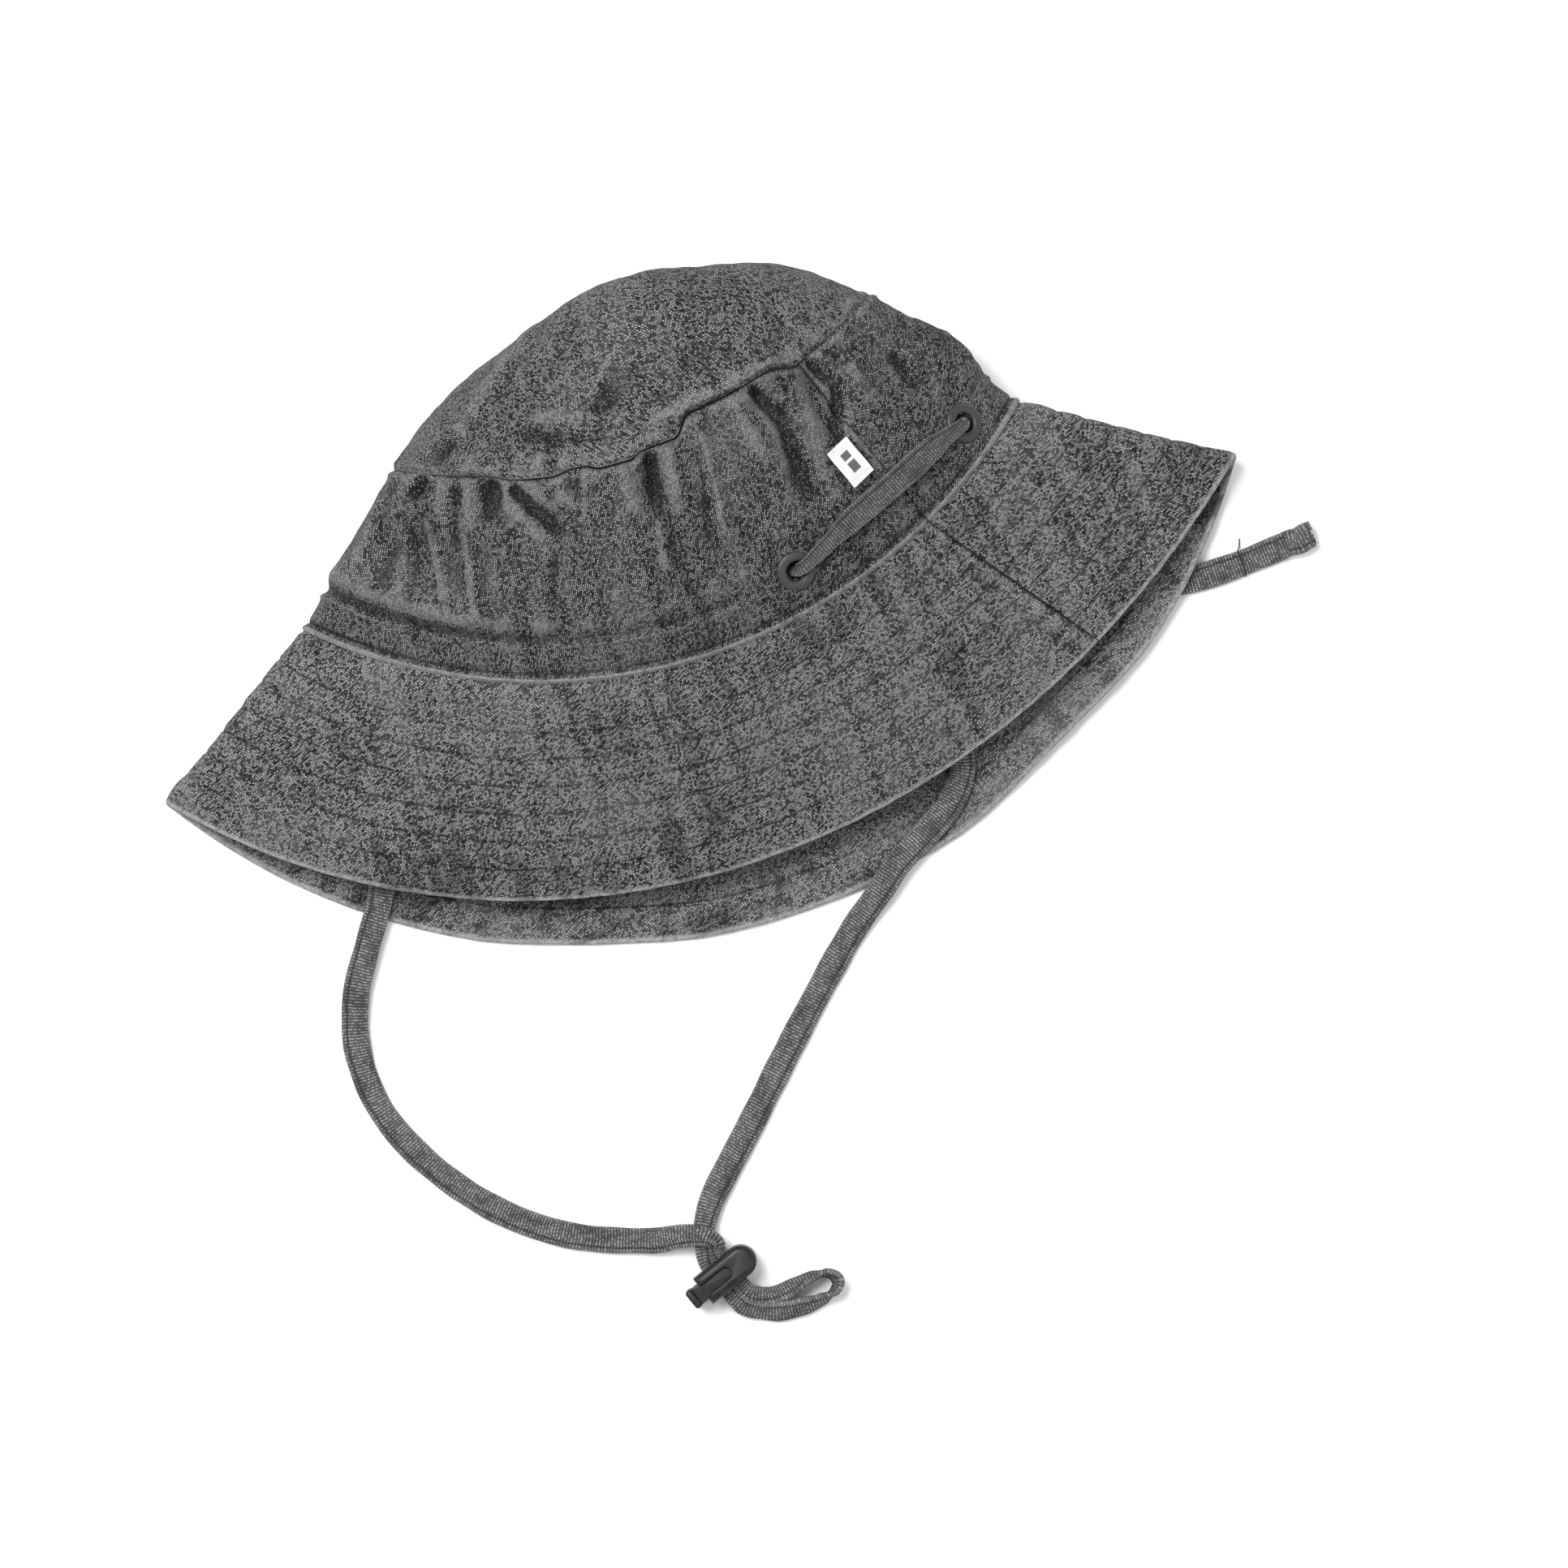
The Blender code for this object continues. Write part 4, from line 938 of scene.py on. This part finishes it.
LOCK_CENTRE = Vector((-53.2, -194.9, 6.25))
LOCK_TURN, LOCK_OPEN_END, LOCK_LENGTH, LOCK_WIDTH, LOCK_HEIGHT = 21.0, -8.2, 19.4, 9.6, 12.5
LOCK_WALL, LOCK_ROOF, LOCK_EDGE, LOCK_SLIDE = 1.6, 1.2, 2.0, 3.0
LOCK_WINDOW = (4.2, 2.6)
BUTTON_TRAVEL, BUTTON_CLEARANCE = 2.0, 0.4
BUTTON_PAD, BUTTON_PAD_WIDTH, BUTTON_PAD_EDGE = 2.4, 6.2, 0.9
PASSAGE_WALL, STOP_GAP = 0.9, 0.3
SPRING_LENGTH, SPRING_RADIUS, SPRING_WIRE, SPRING_TURNS, TURN_POINTS = 3.6, 1.5, 0.22, 3.5, 12
SQUEEZE, LOCK_SQUEEZE, STRAND_SPACING, STRAND_CLEARANCE = 0.5, 0.56, 4.8, 0.4
BRIDGE_BOW = 5.0
STRAP_END_GAP = 0.4

CHIN_ROUTE = (
    (35.0, -5.0, 38.0, 90, 0.6), (40.0, -13.0, 27.0, 90, 0.9),
    (47.0, -25.0, 14.5, 90, 1), (54.0, -40.0, 8.0, 90, 1), (61.0, -56.0, 6.2, 90, 1),
    (63.0, -70.0, 5.8, 90, 1), (56.0, -80.5, 5.0, 90, 1), (45.5, -87.5, 4.6, 90, 1),
    (35.3, -93.2, 4.6, 90, 1), (27.0, -99.8, 4.4, 90, 1), (15.3, -108.8, 1.7, 90, 1),
    (-0.6, -123.5, 1.4, 90, 1), (-16.4, -139.0, 1.4, 90, 1), (-31.8, -154.6, 1.5, 90, 1),
    (-44.5, -167.0, 1.8, 90, 1), (-50.5, -173.3, 2.3, 90, 0.95),
    (-54.6, -179.5, 3.4, 90, 0.8), (-56.8, -185.0, 5.2, 90, 0.62),
    "lower in", "lower mid", "lower out",
    (-50.2, -206.6, 5.4, 60, 0.7), (-46.2, -208.9, 4.4, 42, 0.85), (-40.5, -210.9, 4.2, 44, 1),
    (-34.0, -211.6, 4.2, 40, 1), (-27.8, -211.4, 4.2, 24, 1), (-22.9, -209.9, 4.2, -14, 1),
    (-21.3, -207.2, 4.2, -24, 1), (-23.5, -204.4, 4.2, -14, 1), (-29.0, -203.9, 4.2, 14, 1),
    (-35.5, -205.2, 4.3, 32, 1), (-40.6, -205.6, 4.7, 42, 0.85), (-44.8, -204.4, 5.5, 55, 0.7),
    "upper out", "upper mid", "upper in",
    (-52.6, -185.2, 7.6, 90, 0.65), (-56.0, -181.8, 8.3, 90, 0.8), (-62.5, -180.0, 6.0, 90, 0.9),
    (-72.5, -178.3, 2.7, 90, 1),
    (-93.9, -169.7, 1.4, 90, 1), (-112.7, -155.4, 1.4, 90, 1), (-127.5, -136.5, 1.4, 90, 1),
    (-136.3, -117.0, 1.4, 90, 1), (-137.8, -98.0, 1.6, 90, 1), (-133.0, -81.0, 3.2, 90, 1),
    (-124.5, -67.0, 4.3, 90, 1), (-115.8, -53.0, 4.3, 90, 1), (-109.0, -33.0, 4.9, 90, 1),
    (-103.5, -10.0, 8.6, 90, 1), (-99.0, 10.0, 12.5, 90, 0.85),
)
TAIL_NEAR_ROUTE = (
    (93.0, 25.0, 23.0, 90, 0.6), (91.5, 21.0, 17.5, 90, 0.9), (85.0, 13.5, 12.0, 90, 1),
    (74.0, 6.0, 10.6, 90, 1), (61.0, 2.0, 10.2, 90, 1), (48.0, 3.0, 10.2, 90, 1),
)
TAIL_FAR_ROUTE = (
    (-91.0, 21.0, 1.7, 90, 0.7), (-82.0, 11.5, 1.4, 90, 1), (-66.0, 0.5, 1.4, 90, 1),
    (-47.0, -8.5, 1.4, 90, 1), (-25.0, -14.5, 1.4, 90, 1), (0.0, -17.0, 1.4, 90, 1),
    (25.0, -16.0, 1.4, 90, 1), (50.0, -11.5, 1.4, 90, 1), (74.0, -7.5, 1.4, 90, 1),
    (95.0, -10.5, 1.4, 90, 1), (112.0, -21.0, 1.4, 90, 1), (126.0, -32.0, 1.4, 90, 1),
    (140.0, -38.8, 1.4, 90, 1), (156.0, -39.6, 1.4, 90, 1), (174.5, -38.4, 1.4, 90, 1),
)


def lock_frame():
    made = Matrix.Rotation(math.radians(LOCK_TURN), 4, "Z")
    made.translation = LOCK_CENTRE
    return made


def at(place, x, y, z, twist=90, size=1.0):
    return (*(place @ Vector((x, y, z))), twist, size)


def barrel_mouth(place):
    return [at(EYELETS[place], 0, 0, -BARREL_END - 0.6, 90, SQUEEZE)]


def out_of_eyelet(place, target):
    local = EYELETS[place].inverted() @ target
    local.z = 0.0
    local.normalize()
    over = PLY_GAP + EYELET_DOME + 2.5 * PLY_GAP + 0.5 * STRAP_THICK * SQUEEZE
    stations = ((0.0, -BARREL_END + 0.6), (0.0, -1.0), (1.0, 1.2), (EYELET_BORE + 0.6, over))
    return [at(EYELETS[place], out * local.x, out * local.y, up, 90, SQUEEZE)
            for out, up in stations]


def bridge_route():
    front, back = (math.radians(EYELET_ANGLES[p]) for p in ("near_front", "near_back"))
    v = EYELET_HEIGHT / SIDE_HEIGHT
    clear = 0.5 * STRAP_THICK + 4 * PLY_GAP
    over = []
    for share, size in ((0.14, 0.6), (0.28, 0.9), (0.5, 1.0), (0.72, 0.9), (0.86, 0.6)):
        rise = v + BRIDGE_BOW / SIDE_HEIGHT * 4.0 * share * (1.0 - share)
        place, normal = one(crown_point, front + (back - front) * share, rise)
        over.append((*(place + normal * clear), 90, size))
    first = out_of_eyelet("near_front", Vector(over[0][:3]))
    last = out_of_eyelet("near_back", Vector(over[-1][:3]))
    return first + over + last[::-1]


def chin_route():
    lock, aside = lock_frame(), 0.5 * STRAND_SPACING
    half = 0.5 * LOCK_WIDTH
    stations = {"in": half + 0.8, "mid": -2.0, "out": -half - LOCK_SLIDE - 0.5}
    route = []
    for stop in CHIN_ROUTE:
        if isinstance(stop, str):
            strand, station = stop.split()
            x = aside if strand == "upper" else -aside
            stop = at(lock, x, stations[station], 0, 90, LOCK_SQUEEZE)
        route.append(stop)
    return barrel_mouth("near_front") + route + barrel_mouth("far_front")


def smooth_route(route, step):
    """Rows of x, y, z, twist and size, at about even steps on a smooth curve through a route."""
    points = np.array(route, float)
    ends = np.concatenate((points[:1], points, points[-1:]))
    rows = []
    for k in range(1, len(ends) - 2):
        a, b, c, d = ends[k - 1:k + 3]
        pieces = max(1, int(round(np.linalg.norm(c[:3] - b[:3]) / step)))
        for i in range(pieces):
            t = i / pieces
            row = 0.5 * (2 * b + (c - a) * t + (2 * a - 5 * b + 4 * c - d) * t * t
                         + (3 * b - a - 3 * c + d) * t ** 3)
            row[3:] = b[3:] + (c[3:] - b[3:]) * smooth(t)
            rows.append(row)
    return np.array(rows + [points[-1]])


# ---------------------------------------------------------------- strap

def strap_section(count=11):
    """Half outline of the flat tube: across, height, from one edge over the top to the other."""
    half_w, half_t = 0.5 * STRAP_WIDTH, 0.5 * STRAP_THICK
    x = half_w * np.cos(np.linspace(math.pi, 0, 2 * count + 1))
    y = half_t * np.abs(np.sin(np.linspace(math.pi, 0, 2 * count + 1))) ** 0.55
    return x, y


def tube_faces(n, m):
    """Faces of a capped tube of n rings with m points each."""
    index = np.arange(n * m).reshape(n, m)
    i, j = np.arange(n - 1)[:, None], np.arange(m)[None, :]
    k = (j + 1) % m
    quads = np.stack((index[i, j], index[i, k], index[i + 1, k], index[i + 1, j]), -1).reshape(-1, 4)
    return quads.tolist() + [index[0].tolist(), index[-1][::-1].tolist()]


def strap_mesh(name, rows, finish, node, seed):
    """A flat folded tube swept along a route, with a groove beside its stitched edge."""
    centre, twist, size = rows[:, :3], np.radians(rows[:, 3]), rows[:, 4]
    tangent = unit(np.gradient(centre, axis=0))
    flat = np.cross((0.0, 0.0, 1.0), tangent)
    strong = np.linalg.norm(flat, axis=1) > 0.3
    places = np.flatnonzero(strong)
    flat = np.stack([np.interp(np.arange(len(flat)), places, flat[places, k]) for k in range(3)], 1)
    flat -= tangent * np.sum(flat * tangent, axis=1, keepdims=True)
    flat = unit(flat)
    up = np.cross(tangent, flat)
    sin, cos = np.sin(twist)[:, None], np.cos(twist)[:, None]
    wide = flat * sin + up * cos
    tall = up * sin - flat * cos
    x, y = strap_section()
    groove = 0.32 * bell(x - SEAM_LANE, 0.42) - 0.12 * bell(x - SEAM_LANE - 1.0, 0.5)
    outline = np.concatenate((np.stack((x, y - groove), 1),
                              np.stack((x[::-1], -(y - 0.5 * groove)[::-1]), 1)[1:-1]))
    run = runs_along(centre, 0)
    n, m = len(centre), len(outline)
    wobble = 1.0 + 0.035 * waves(run, 0 * run, 17.0, seed)
    puff = 1.0 + 0.05 * waves(run, 0 * run, 9.0, seed + 1)
    across = outline[:, 0][None] * (size * wobble)[:, None]
    height = outline[:, 1][None] * (size * puff)[:, None]
    verts = centre[:, None] + wide[:, None] * across[..., None] + tall[:, None] * height[..., None]
    verts[..., 2] = np.maximum(verts[..., 2], STRAP_LEAST_Z)
    maps = np.stack(np.broadcast_arrays(run[:, None], outline[:, 0][None]), -1)
    made = write_mesh(name, verts.reshape(-1, 3), tube_faces(n, m), {"rows": maps.reshape(-1, 2)}, {},
                      finish)
    return stand_for(made, [node]), centre * MM, float(run[-1]) * MM


YARN_SIDES, YARN_STEP = 6, 0.4
YARN_ASIDE = (0.31, 0.52, 0.79)    # any direction that no yarn follows


def yarn(name, points, radius, finish, node, slot="strap", body="root"):
    """One thread or wire along a few points, in millimetres."""
    rows = smooth_route([(*p, 0.0, 1.0) for p in points], YARN_STEP)[:, :3]
    tangent = unit(np.gradient(rows, axis=0))
    aside = unit(np.cross(tangent, YARN_ASIDE))
    other = np.cross(tangent, aside)
    angles = np.arange(YARN_SIDES) * FULL / YARN_SIDES
    ring = (aside[:, None] * np.cos(angles)[:, None] + other[:, None] * np.sin(angles)[:, None])
    verts = rows[:, None] + radius * ring
    verts[..., 2] = np.maximum(verts[..., 2], STRAP_LEAST_Z)
    faces = tube_faces(len(rows), YARN_SIDES)
    made = write_mesh(name, verts.reshape(-1, 3), faces, {}, {}, finish)
    return stand_for(made, [node], body)


# ---------------------------------------------------------------- trim and hardware

def from_bmesh(name, bm, finish, matrix=Matrix(), sharp=35):
    bmesh.ops.transform(bm, matrix=matrix, verts=bm.verts)
    bmesh.ops.scale(bm, vec=(MM, MM, MM), verts=bm.verts)
    return shaded(name, bm, finish, sharp)


EYELET_STEPS = 72


def build_eyelets(paint, bare, steel):
    steps = EYELET_STEPS
    bore, end, seat = EYELET_BORE, BARREL_END, PLY_GAP
    middle = 0.5 * (bore + EYELET_FLANGE)
    profile = [(EYELET_FLANGE, seat - 0.15), (EYELET_FLANGE, seat + 0.2),
               (EYELET_FLANGE - 0.2, seat + 0.5), (EYELET_FLANGE - 0.7, seat + 0.78),
               (middle + 0.4, seat + EYELET_DOME), (middle - 0.4, seat + EYELET_DOME),
               (bore + 0.55, seat + 0.75), (bore + 0.2, seat + 0.5), (bore, seat + 0.1),
               (bore, -end + 0.3), (bore + 0.3, -end), (BARREL + 1.0, -end),
               (BARREL + 1.0, -end + EYELET_WALL), (BARREL, -end + EYELET_WALL), (BARREL, seat - 0.15)]
    for place, matrix in EYELETS.items():
        bm = bmesh.new()
        rings = [[bm.verts.new((r * math.cos(a), r * math.sin(a), z)) for r, z in profile]
                 for a in (FULL * k / steps for k in range(steps))]
        for k in range(steps):
            here, there = rings[k], rings[(k + 1) % steps]
            for i in range(len(profile)):
                j = (i + 1) % len(profile)
                face = bm.faces.new((here[i], there[i], there[j], here[j]))
                face.material_index = 1 if 8 <= i <= 12 else 0
        made = from_bmesh("eyelet_" + place + "_ring", bm, paint, matrix, 40)
        made.data.materials.append(bare)
        stand_for(made, ["eyelet_" + place])
        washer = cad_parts["eyelet_washer_" + place]
        washer.data.materials.clear()
        washer.data.materials.append(steel)


LABEL_LENGTH, LABEL_WIDTH, LABEL_THICK = 13.0, 8.5, 0.9
LABEL_HEIGHT = 24.0            # of its lower end, above the base seam
LABEL_STANDS = 4.0             # out from the seam


def build_label(tape):
    """A folded tape with a soft curl, in the side seam."""
    length, width, thick = LABEL_LENGTH, LABEL_WIDTH, LABEL_THICK
    seam = math.radians(SEAM_ANGLE)
    place = surface_frame(crown_point, seam, (LABEL_HEIGHT + 0.5 * length) / SIDE_HEIGHT)
    x = np.linspace(-0.5 * width, 0.5 * width, 18)
    y = np.linspace(-0.5 * length, 0.5 * length, 26)
    gx, gy = np.meshgrid(x, y, indexing="ij")
    curl = 0.5 * (gx / width + 0.5) ** 2 + 0.25 * np.sin(gy * 0.45)
    round_edge = 0.5 * thick * np.sqrt(np.maximum(0.02, 1 - ((gx + 0.5 * width) / width) ** 8))
    top = np.stack((gx + 0.5 * width + LABEL_STANDS, gy, 2 * PLY_GAP + thick + curl + round_edge * 0.8), -1)
    low = top - np.stack((0 * gx, 0 * gx, round_edge * 1.6), -1)
    verts = np.concatenate((top.reshape(-1, 3), low.reshape(-1, 3)))
    world = np.array([place @ Vector(v) for v in verts])
    uv = np.tile(np.stack((gx, gy), -1).reshape(-1, 2), (2, 1))
    faces = slab_faces(*gx.shape).tolist()
    made = write_mesh("label_tape", world, faces, {"rows": uv}, {}, tape)
    stand_for(made, ["label"])


def box_between(low, high):
    bm = bmesh.new()
    bmesh.ops.create_cube(bm, size=1.0)
    bmesh.ops.scale(bm, vec=Vector(high) - Vector(low), verts=bm.verts)
    bmesh.ops.translate(bm, vec=(Vector(low) + Vector(high)) / 2, verts=bm.verts)
    return bm


def round_ended(start, end, half, count=40):
    centre = end - half
    outline = [(start, half), (start, -half)]
    for k in range(count + 1):
        a = math.pi * (k / count - 0.5)
        outline.append((centre + half * math.cos(a), half * math.sin(a)))
    return outline


def raise_outline(outline, low, high, edge=0.0, segments=1):
    bm = bmesh.new()
    face = bm.faces.new([bm.verts.new((x, y, low)) for x, y in outline])
    roof = bmesh.ops.extrude_face_region(bm, geom=[face])["geom"]
    verts = [v for v in roof if isinstance(v, bmesh.types.BMVert)]
    bmesh.ops.translate(bm, vec=(0, 0, high - low), verts=verts)
    if edge:
        rims = [e for e in bm.edges if abs(e.verts[0].co.z - e.verts[1].co.z) < 0.01]
        bmesh.ops.bevel(bm, geom=rims, offset=edge, segments=segments, profile=0.5, affect="EDGES")
    return bm


def carved(name, base, tools, finish, matrix, soft=0.22):
    """A solid cut or joined with others, and its edges softened."""
    made = from_bmesh(name, base, finish, matrix)
    helpers = []
    for k, (operation, bm) in enumerate(tools):
        helper = from_bmesh(f"{name}_tool{k}", bm, finish, matrix)
        modifier = made.modifiers.new("tool", "BOOLEAN")
        modifier.operation, modifier.solver, modifier.object = operation, "EXACT", helper
        helpers.append(helper)
    bevel = made.modifiers.new("soft", "BEVEL")
    bevel.width, bevel.segments, bevel.limit_method = soft * MM, 3, "ANGLE"
    bevel.angle_limit, bevel.harden_normals = math.radians(40), False
    graph = bpy.context.evaluated_depsgraph_get()
    mesh = bpy.data.meshes.new_from_object(made.evaluated_get(graph))
    made.modifiers.clear()
    made.data = mesh
    mesh.shade_smooth()
    mesh.set_sharp_from_angle(angle=math.radians(45))
    for helper in helpers:
        bpy.data.objects.remove(helper)
    return made


CUT_PAST = 2.0                 # how far the cutting tools start before the lock's open end


def build_lock(plastic, steel):
    place = lock_frame()
    half_y, half_z = 0.5 * LOCK_WIDTH - LOCK_WALL, 0.5 * LOCK_HEIGHT - LOCK_ROOF
    reach = 0.5 * (STRAND_SPACING + STRAP_WIDTH * LOCK_SQUEEZE)
    slot_in = reach + STOP_GAP
    slot_out = -slot_in - BUTTON_TRAVEL
    inner_end = slot_in + PASSAGE_WALL
    pad_face = LOCK_OPEN_END - BUTTON_TRAVEL - STOP_GAP
    cavity_end = inner_end + BUTTON_TRAVEL + STOP_GAP
    strap_z = 0.5 * STRAP_THICK * LOCK_SQUEEZE + STRAND_CLEARANCE
    strap_x = reach + STRAND_CLEARANCE
    half = 0.5 * LOCK_HEIGHT
    width, tip = LOCK_WINDOW
    start = LOCK_OPEN_END - CUT_PAST
    block = raise_outline(round_ended(LOCK_OPEN_END, LOCK_OPEN_END + LOCK_LENGTH, 0.5 * LOCK_WIDTH),
                          -half, half, LOCK_EDGE, 6)
    cavity = box_between((start, -half_y, -half_z), (cavity_end, half_y, half_z))
    passage = box_between((-strap_x, -LOCK_WIDTH, -strap_z), (strap_x, LOCK_WIDTH, strap_z))
    window = raise_outline(round_ended(start, tip, 0.5 * width), half_z - 1, LOCK_HEIGHT)
    housing = carved("cord_lock_housing_shell", block,
                     [("DIFFERENCE", cavity), ("DIFFERENCE", passage), ("DIFFERENCE", window)],
                     plastic, place)
    stand_for(housing, ["cord_lock_housing"], "cord_lock")
    y, z = half_y - BUTTON_CLEARANCE, half_z - BUTTON_CLEARANCE
    body = box_between((pad_face - 1.0, -y, -z), (inner_end, y, z))
    pad = box_between((-0.5 * BUTTON_PAD, -0.5 * BUTTON_PAD_WIDTH, -half + 0.3),
                      (0.5 * BUTTON_PAD, 0.5 * BUTTON_PAD_WIDTH, half - 0.3))
    bmesh.ops.bevel(pad, geom=pad.edges[:], offset=BUTTON_PAD_EDGE, segments=5, profile=0.5,
                    affect="EDGES")
    bmesh.ops.translate(pad, vec=(pad_face - 0.5 * BUTTON_PAD, 0, 0), verts=pad.verts)
    slot = box_between((slot_out, -LOCK_WIDTH, -strap_z), (slot_in, LOCK_WIDTH, strap_z))
    button = carved("cord_lock_button_tongue", body, [("UNION", pad), ("DIFFERENCE", slot)],
                    plastic, place)
    stand_for(button, ["cord_lock_button"], "lock_button")
    first = inner_end + STOP_GAP + SPRING_WIRE
    last = first + SPRING_LENGTH - 2 * SPRING_WIRE - STOP_GAP
    coil = []
    for k in range(int(SPRING_TURNS * TURN_POINTS) + 1):
        a, share = FULL * k / TURN_POINTS, k / (SPRING_TURNS * TURN_POINTS)
        coil.append(place @ Vector((first + (last - first) * share, SPRING_RADIUS * math.cos(a),
                                    SPRING_RADIUS * math.sin(a))))
    spring = yarn("cord_lock_spring_coil", coil, SPRING_WIRE, steel, "cord_lock_spring",
                  "spring_steel", "cord_lock")
    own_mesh(spring)
    return housing, button, spring


def thread_fluff(name, level):
    s = Shader(name, roughness=0.9)
    shade = s.noise(s.place(), 2.0, 2.0)
    return s.finish(s.mix(s.ramp(shade, 0.3, 0.7), grey(level), grey(level * 0.6)),
                    s.bump(shade, 0.05, 0.5))


# The folded end of a tail, in its own frame with x along the tail: x and height
TAIL_FOLD = ((-2.2, 0.25), (0.5, 0.2), (2.5, 0.1), (5.0, 0.05), (7.2, 0.2), (8.4, 0.8), (8.6, 1.6),
             (7.9, 2.3), (6.4, 2.5), (4.4, 2.35), (2.4, 2.25), (1.2, 2.2))
FOLD_RAISE = 0.46 * STRAP_THICK - 0.15
FOLD_SWAY = 0.25
# Threads there, in the same frame: pale raw ends and dark stitches
RAW_THREADS = (
    ((7.4, 1.6, 2.2), (9.4, 2.8, 2.9), (10.2, 1.6, 3.3), (9.0, 0.7, 3.4)),
    ((7.6, -1.4, 2.4), (9.6, -0.8, 3.1), (9.4, 0.6, 3.6), (8.2, 1.2, 3.4)),
    ((7.0, 2.8, 2.2), (8.6, 4.2, 2.0), (10.0, 4.0, 1.4)),
    ((7.8, -2.6, 2.3), (9.5, -3.4, 2.2), (10.4, -2.6, 1.5)),
)
DARK_THREADS = (
    ((-14.0, -4.3, 0.2), (-13.6, -3.0, 1.5), (-13.2, 0.0, 1.6), (-13.5, 3.2, 1.4),
     (-12.4, 4.8, -0.6), (-11.4, 7.0, -1.1)),
    ((4.6, -4.2, 1.2), (4.9, -2.0, 2.5), (4.7, 1.0, 2.5), (5.0, 3.6, 2.0)),
)


def tail_end(side, route, cloth, raw, dark):
    """The strap's end, folded back on itself and sewn down."""
    last, before = Vector(route[-1][:3]), Vector(route[-2][:3])
    along = last - before
    along.z = 0.0
    along.normalize()
    place = Matrix.Rotation(math.atan2(along.y, along.x), 4, "Z")
    place.translation = last + along * STRAP_END_GAP
    rows = [at(place, x, FOLD_SWAY * math.sin(x), z + FOLD_RAISE) for x, z in TAIL_FOLD]
    node = "strap_tail_end_" + side
    pieces = [strap_mesh(node + "_fold", smooth_route(rows, 0.5), cloth, node, 40)[0]]
    for label, threads, radius, finish in (("raw", RAW_THREADS, 0.22, raw),
                                           ("sewn", DARK_THREADS, 0.2, dark)):
        for k, points in enumerate(threads):
            world = [place @ Vector(point) for point in points]
            pieces.append(yarn(f"{node}_{label}_{k}", world, radius, finish, node))
    return pieces


# ---------------------------------------------------------------- the whole

def build_straps(cloth, dark):
    """The four stretches of strap, each with its path and length in metres."""
    near = barrel_mouth("near_back") + list(TAIL_NEAR_ROUTE)
    far = out_of_eyelet("far_front", Vector(TAIL_FAR_ROUTE[0][:3])) + list(TAIL_FAR_ROUTE)
    stretches = (("chin_strap", chin_route(), 0.9, cloth, 30),
                 ("strap_bridge", bridge_route(), 0.7, dark, 32),
                 ("strap_tail_near", near, 0.9, cloth, 34),
                 ("strap_tail_far", far, 0.9, cloth, 36))
    return [strap_mesh(node + "_tube", smooth_route(route, step), finish, node, seed)
            for node, route, step, finish, seed in stretches]


def add_floor():
    bpy.ops.mesh.primitive_plane_add(size=FLOOR_SIZE, location=(0.0, 0.0, FLOOR_Z))
    floor = bpy.context.object
    floor.name = "floor"
    floor.data.materials.append(floor_paper())


def main():
    add_camera()
    add_lights()
    strap = ribbed_strap("strap_rib")
    cords = build_straps(strap, ribbed_strap("strap_rib_dark", light=0.2))
    raw, dark = thread_fluff("thread_raw", 0.5), thread_fluff("thread_dark", 0.012)
    ends = {side: tail_end(side, route, strap, raw, dark)
            for side, route in (("near", TAIL_NEAR_ROUTE), ("far", TAIL_FAR_ROUTE))}
    steel = bare_metal("washer_steel", 0.5)
    lock = build_lock(lock_plastic(), steel)
    build_brim(denim("denim_brim", 24.0, light=0.36, streaks=0.3, rows=BRIM_ROWS, warm=-0.012),
               denim("denim_under", 63.0, light=0.38, least=0.1, streaks=0.4, rows=BRIM_ROWS),
               plain_weave("interlining_felt", 0.16, 0.28))
    build_crown(denim("denim_side", 66.0, light=0.235, rows=HEM_ROWS, worn_edge=0.9,
                      pale_edge=0.22, wear=1.15),
                denim("denim_tip", 40.0, light=0.29, rows=NO_ROWS, worn_edge=0.5,
                      pale_edge=0.1, wear=1.1, warm=0.03),
                denim("denim_band", 60.0, dark=0.008, light=0.26, wear=0.6),
                plain_weave("lining_cotton", 0.03, 0.075))
    build_eyelets(eyelet_paint(), bare_metal("eyelet_bare", 0.5), steel)
    build_label(label_tape())
    add_floor()


main()
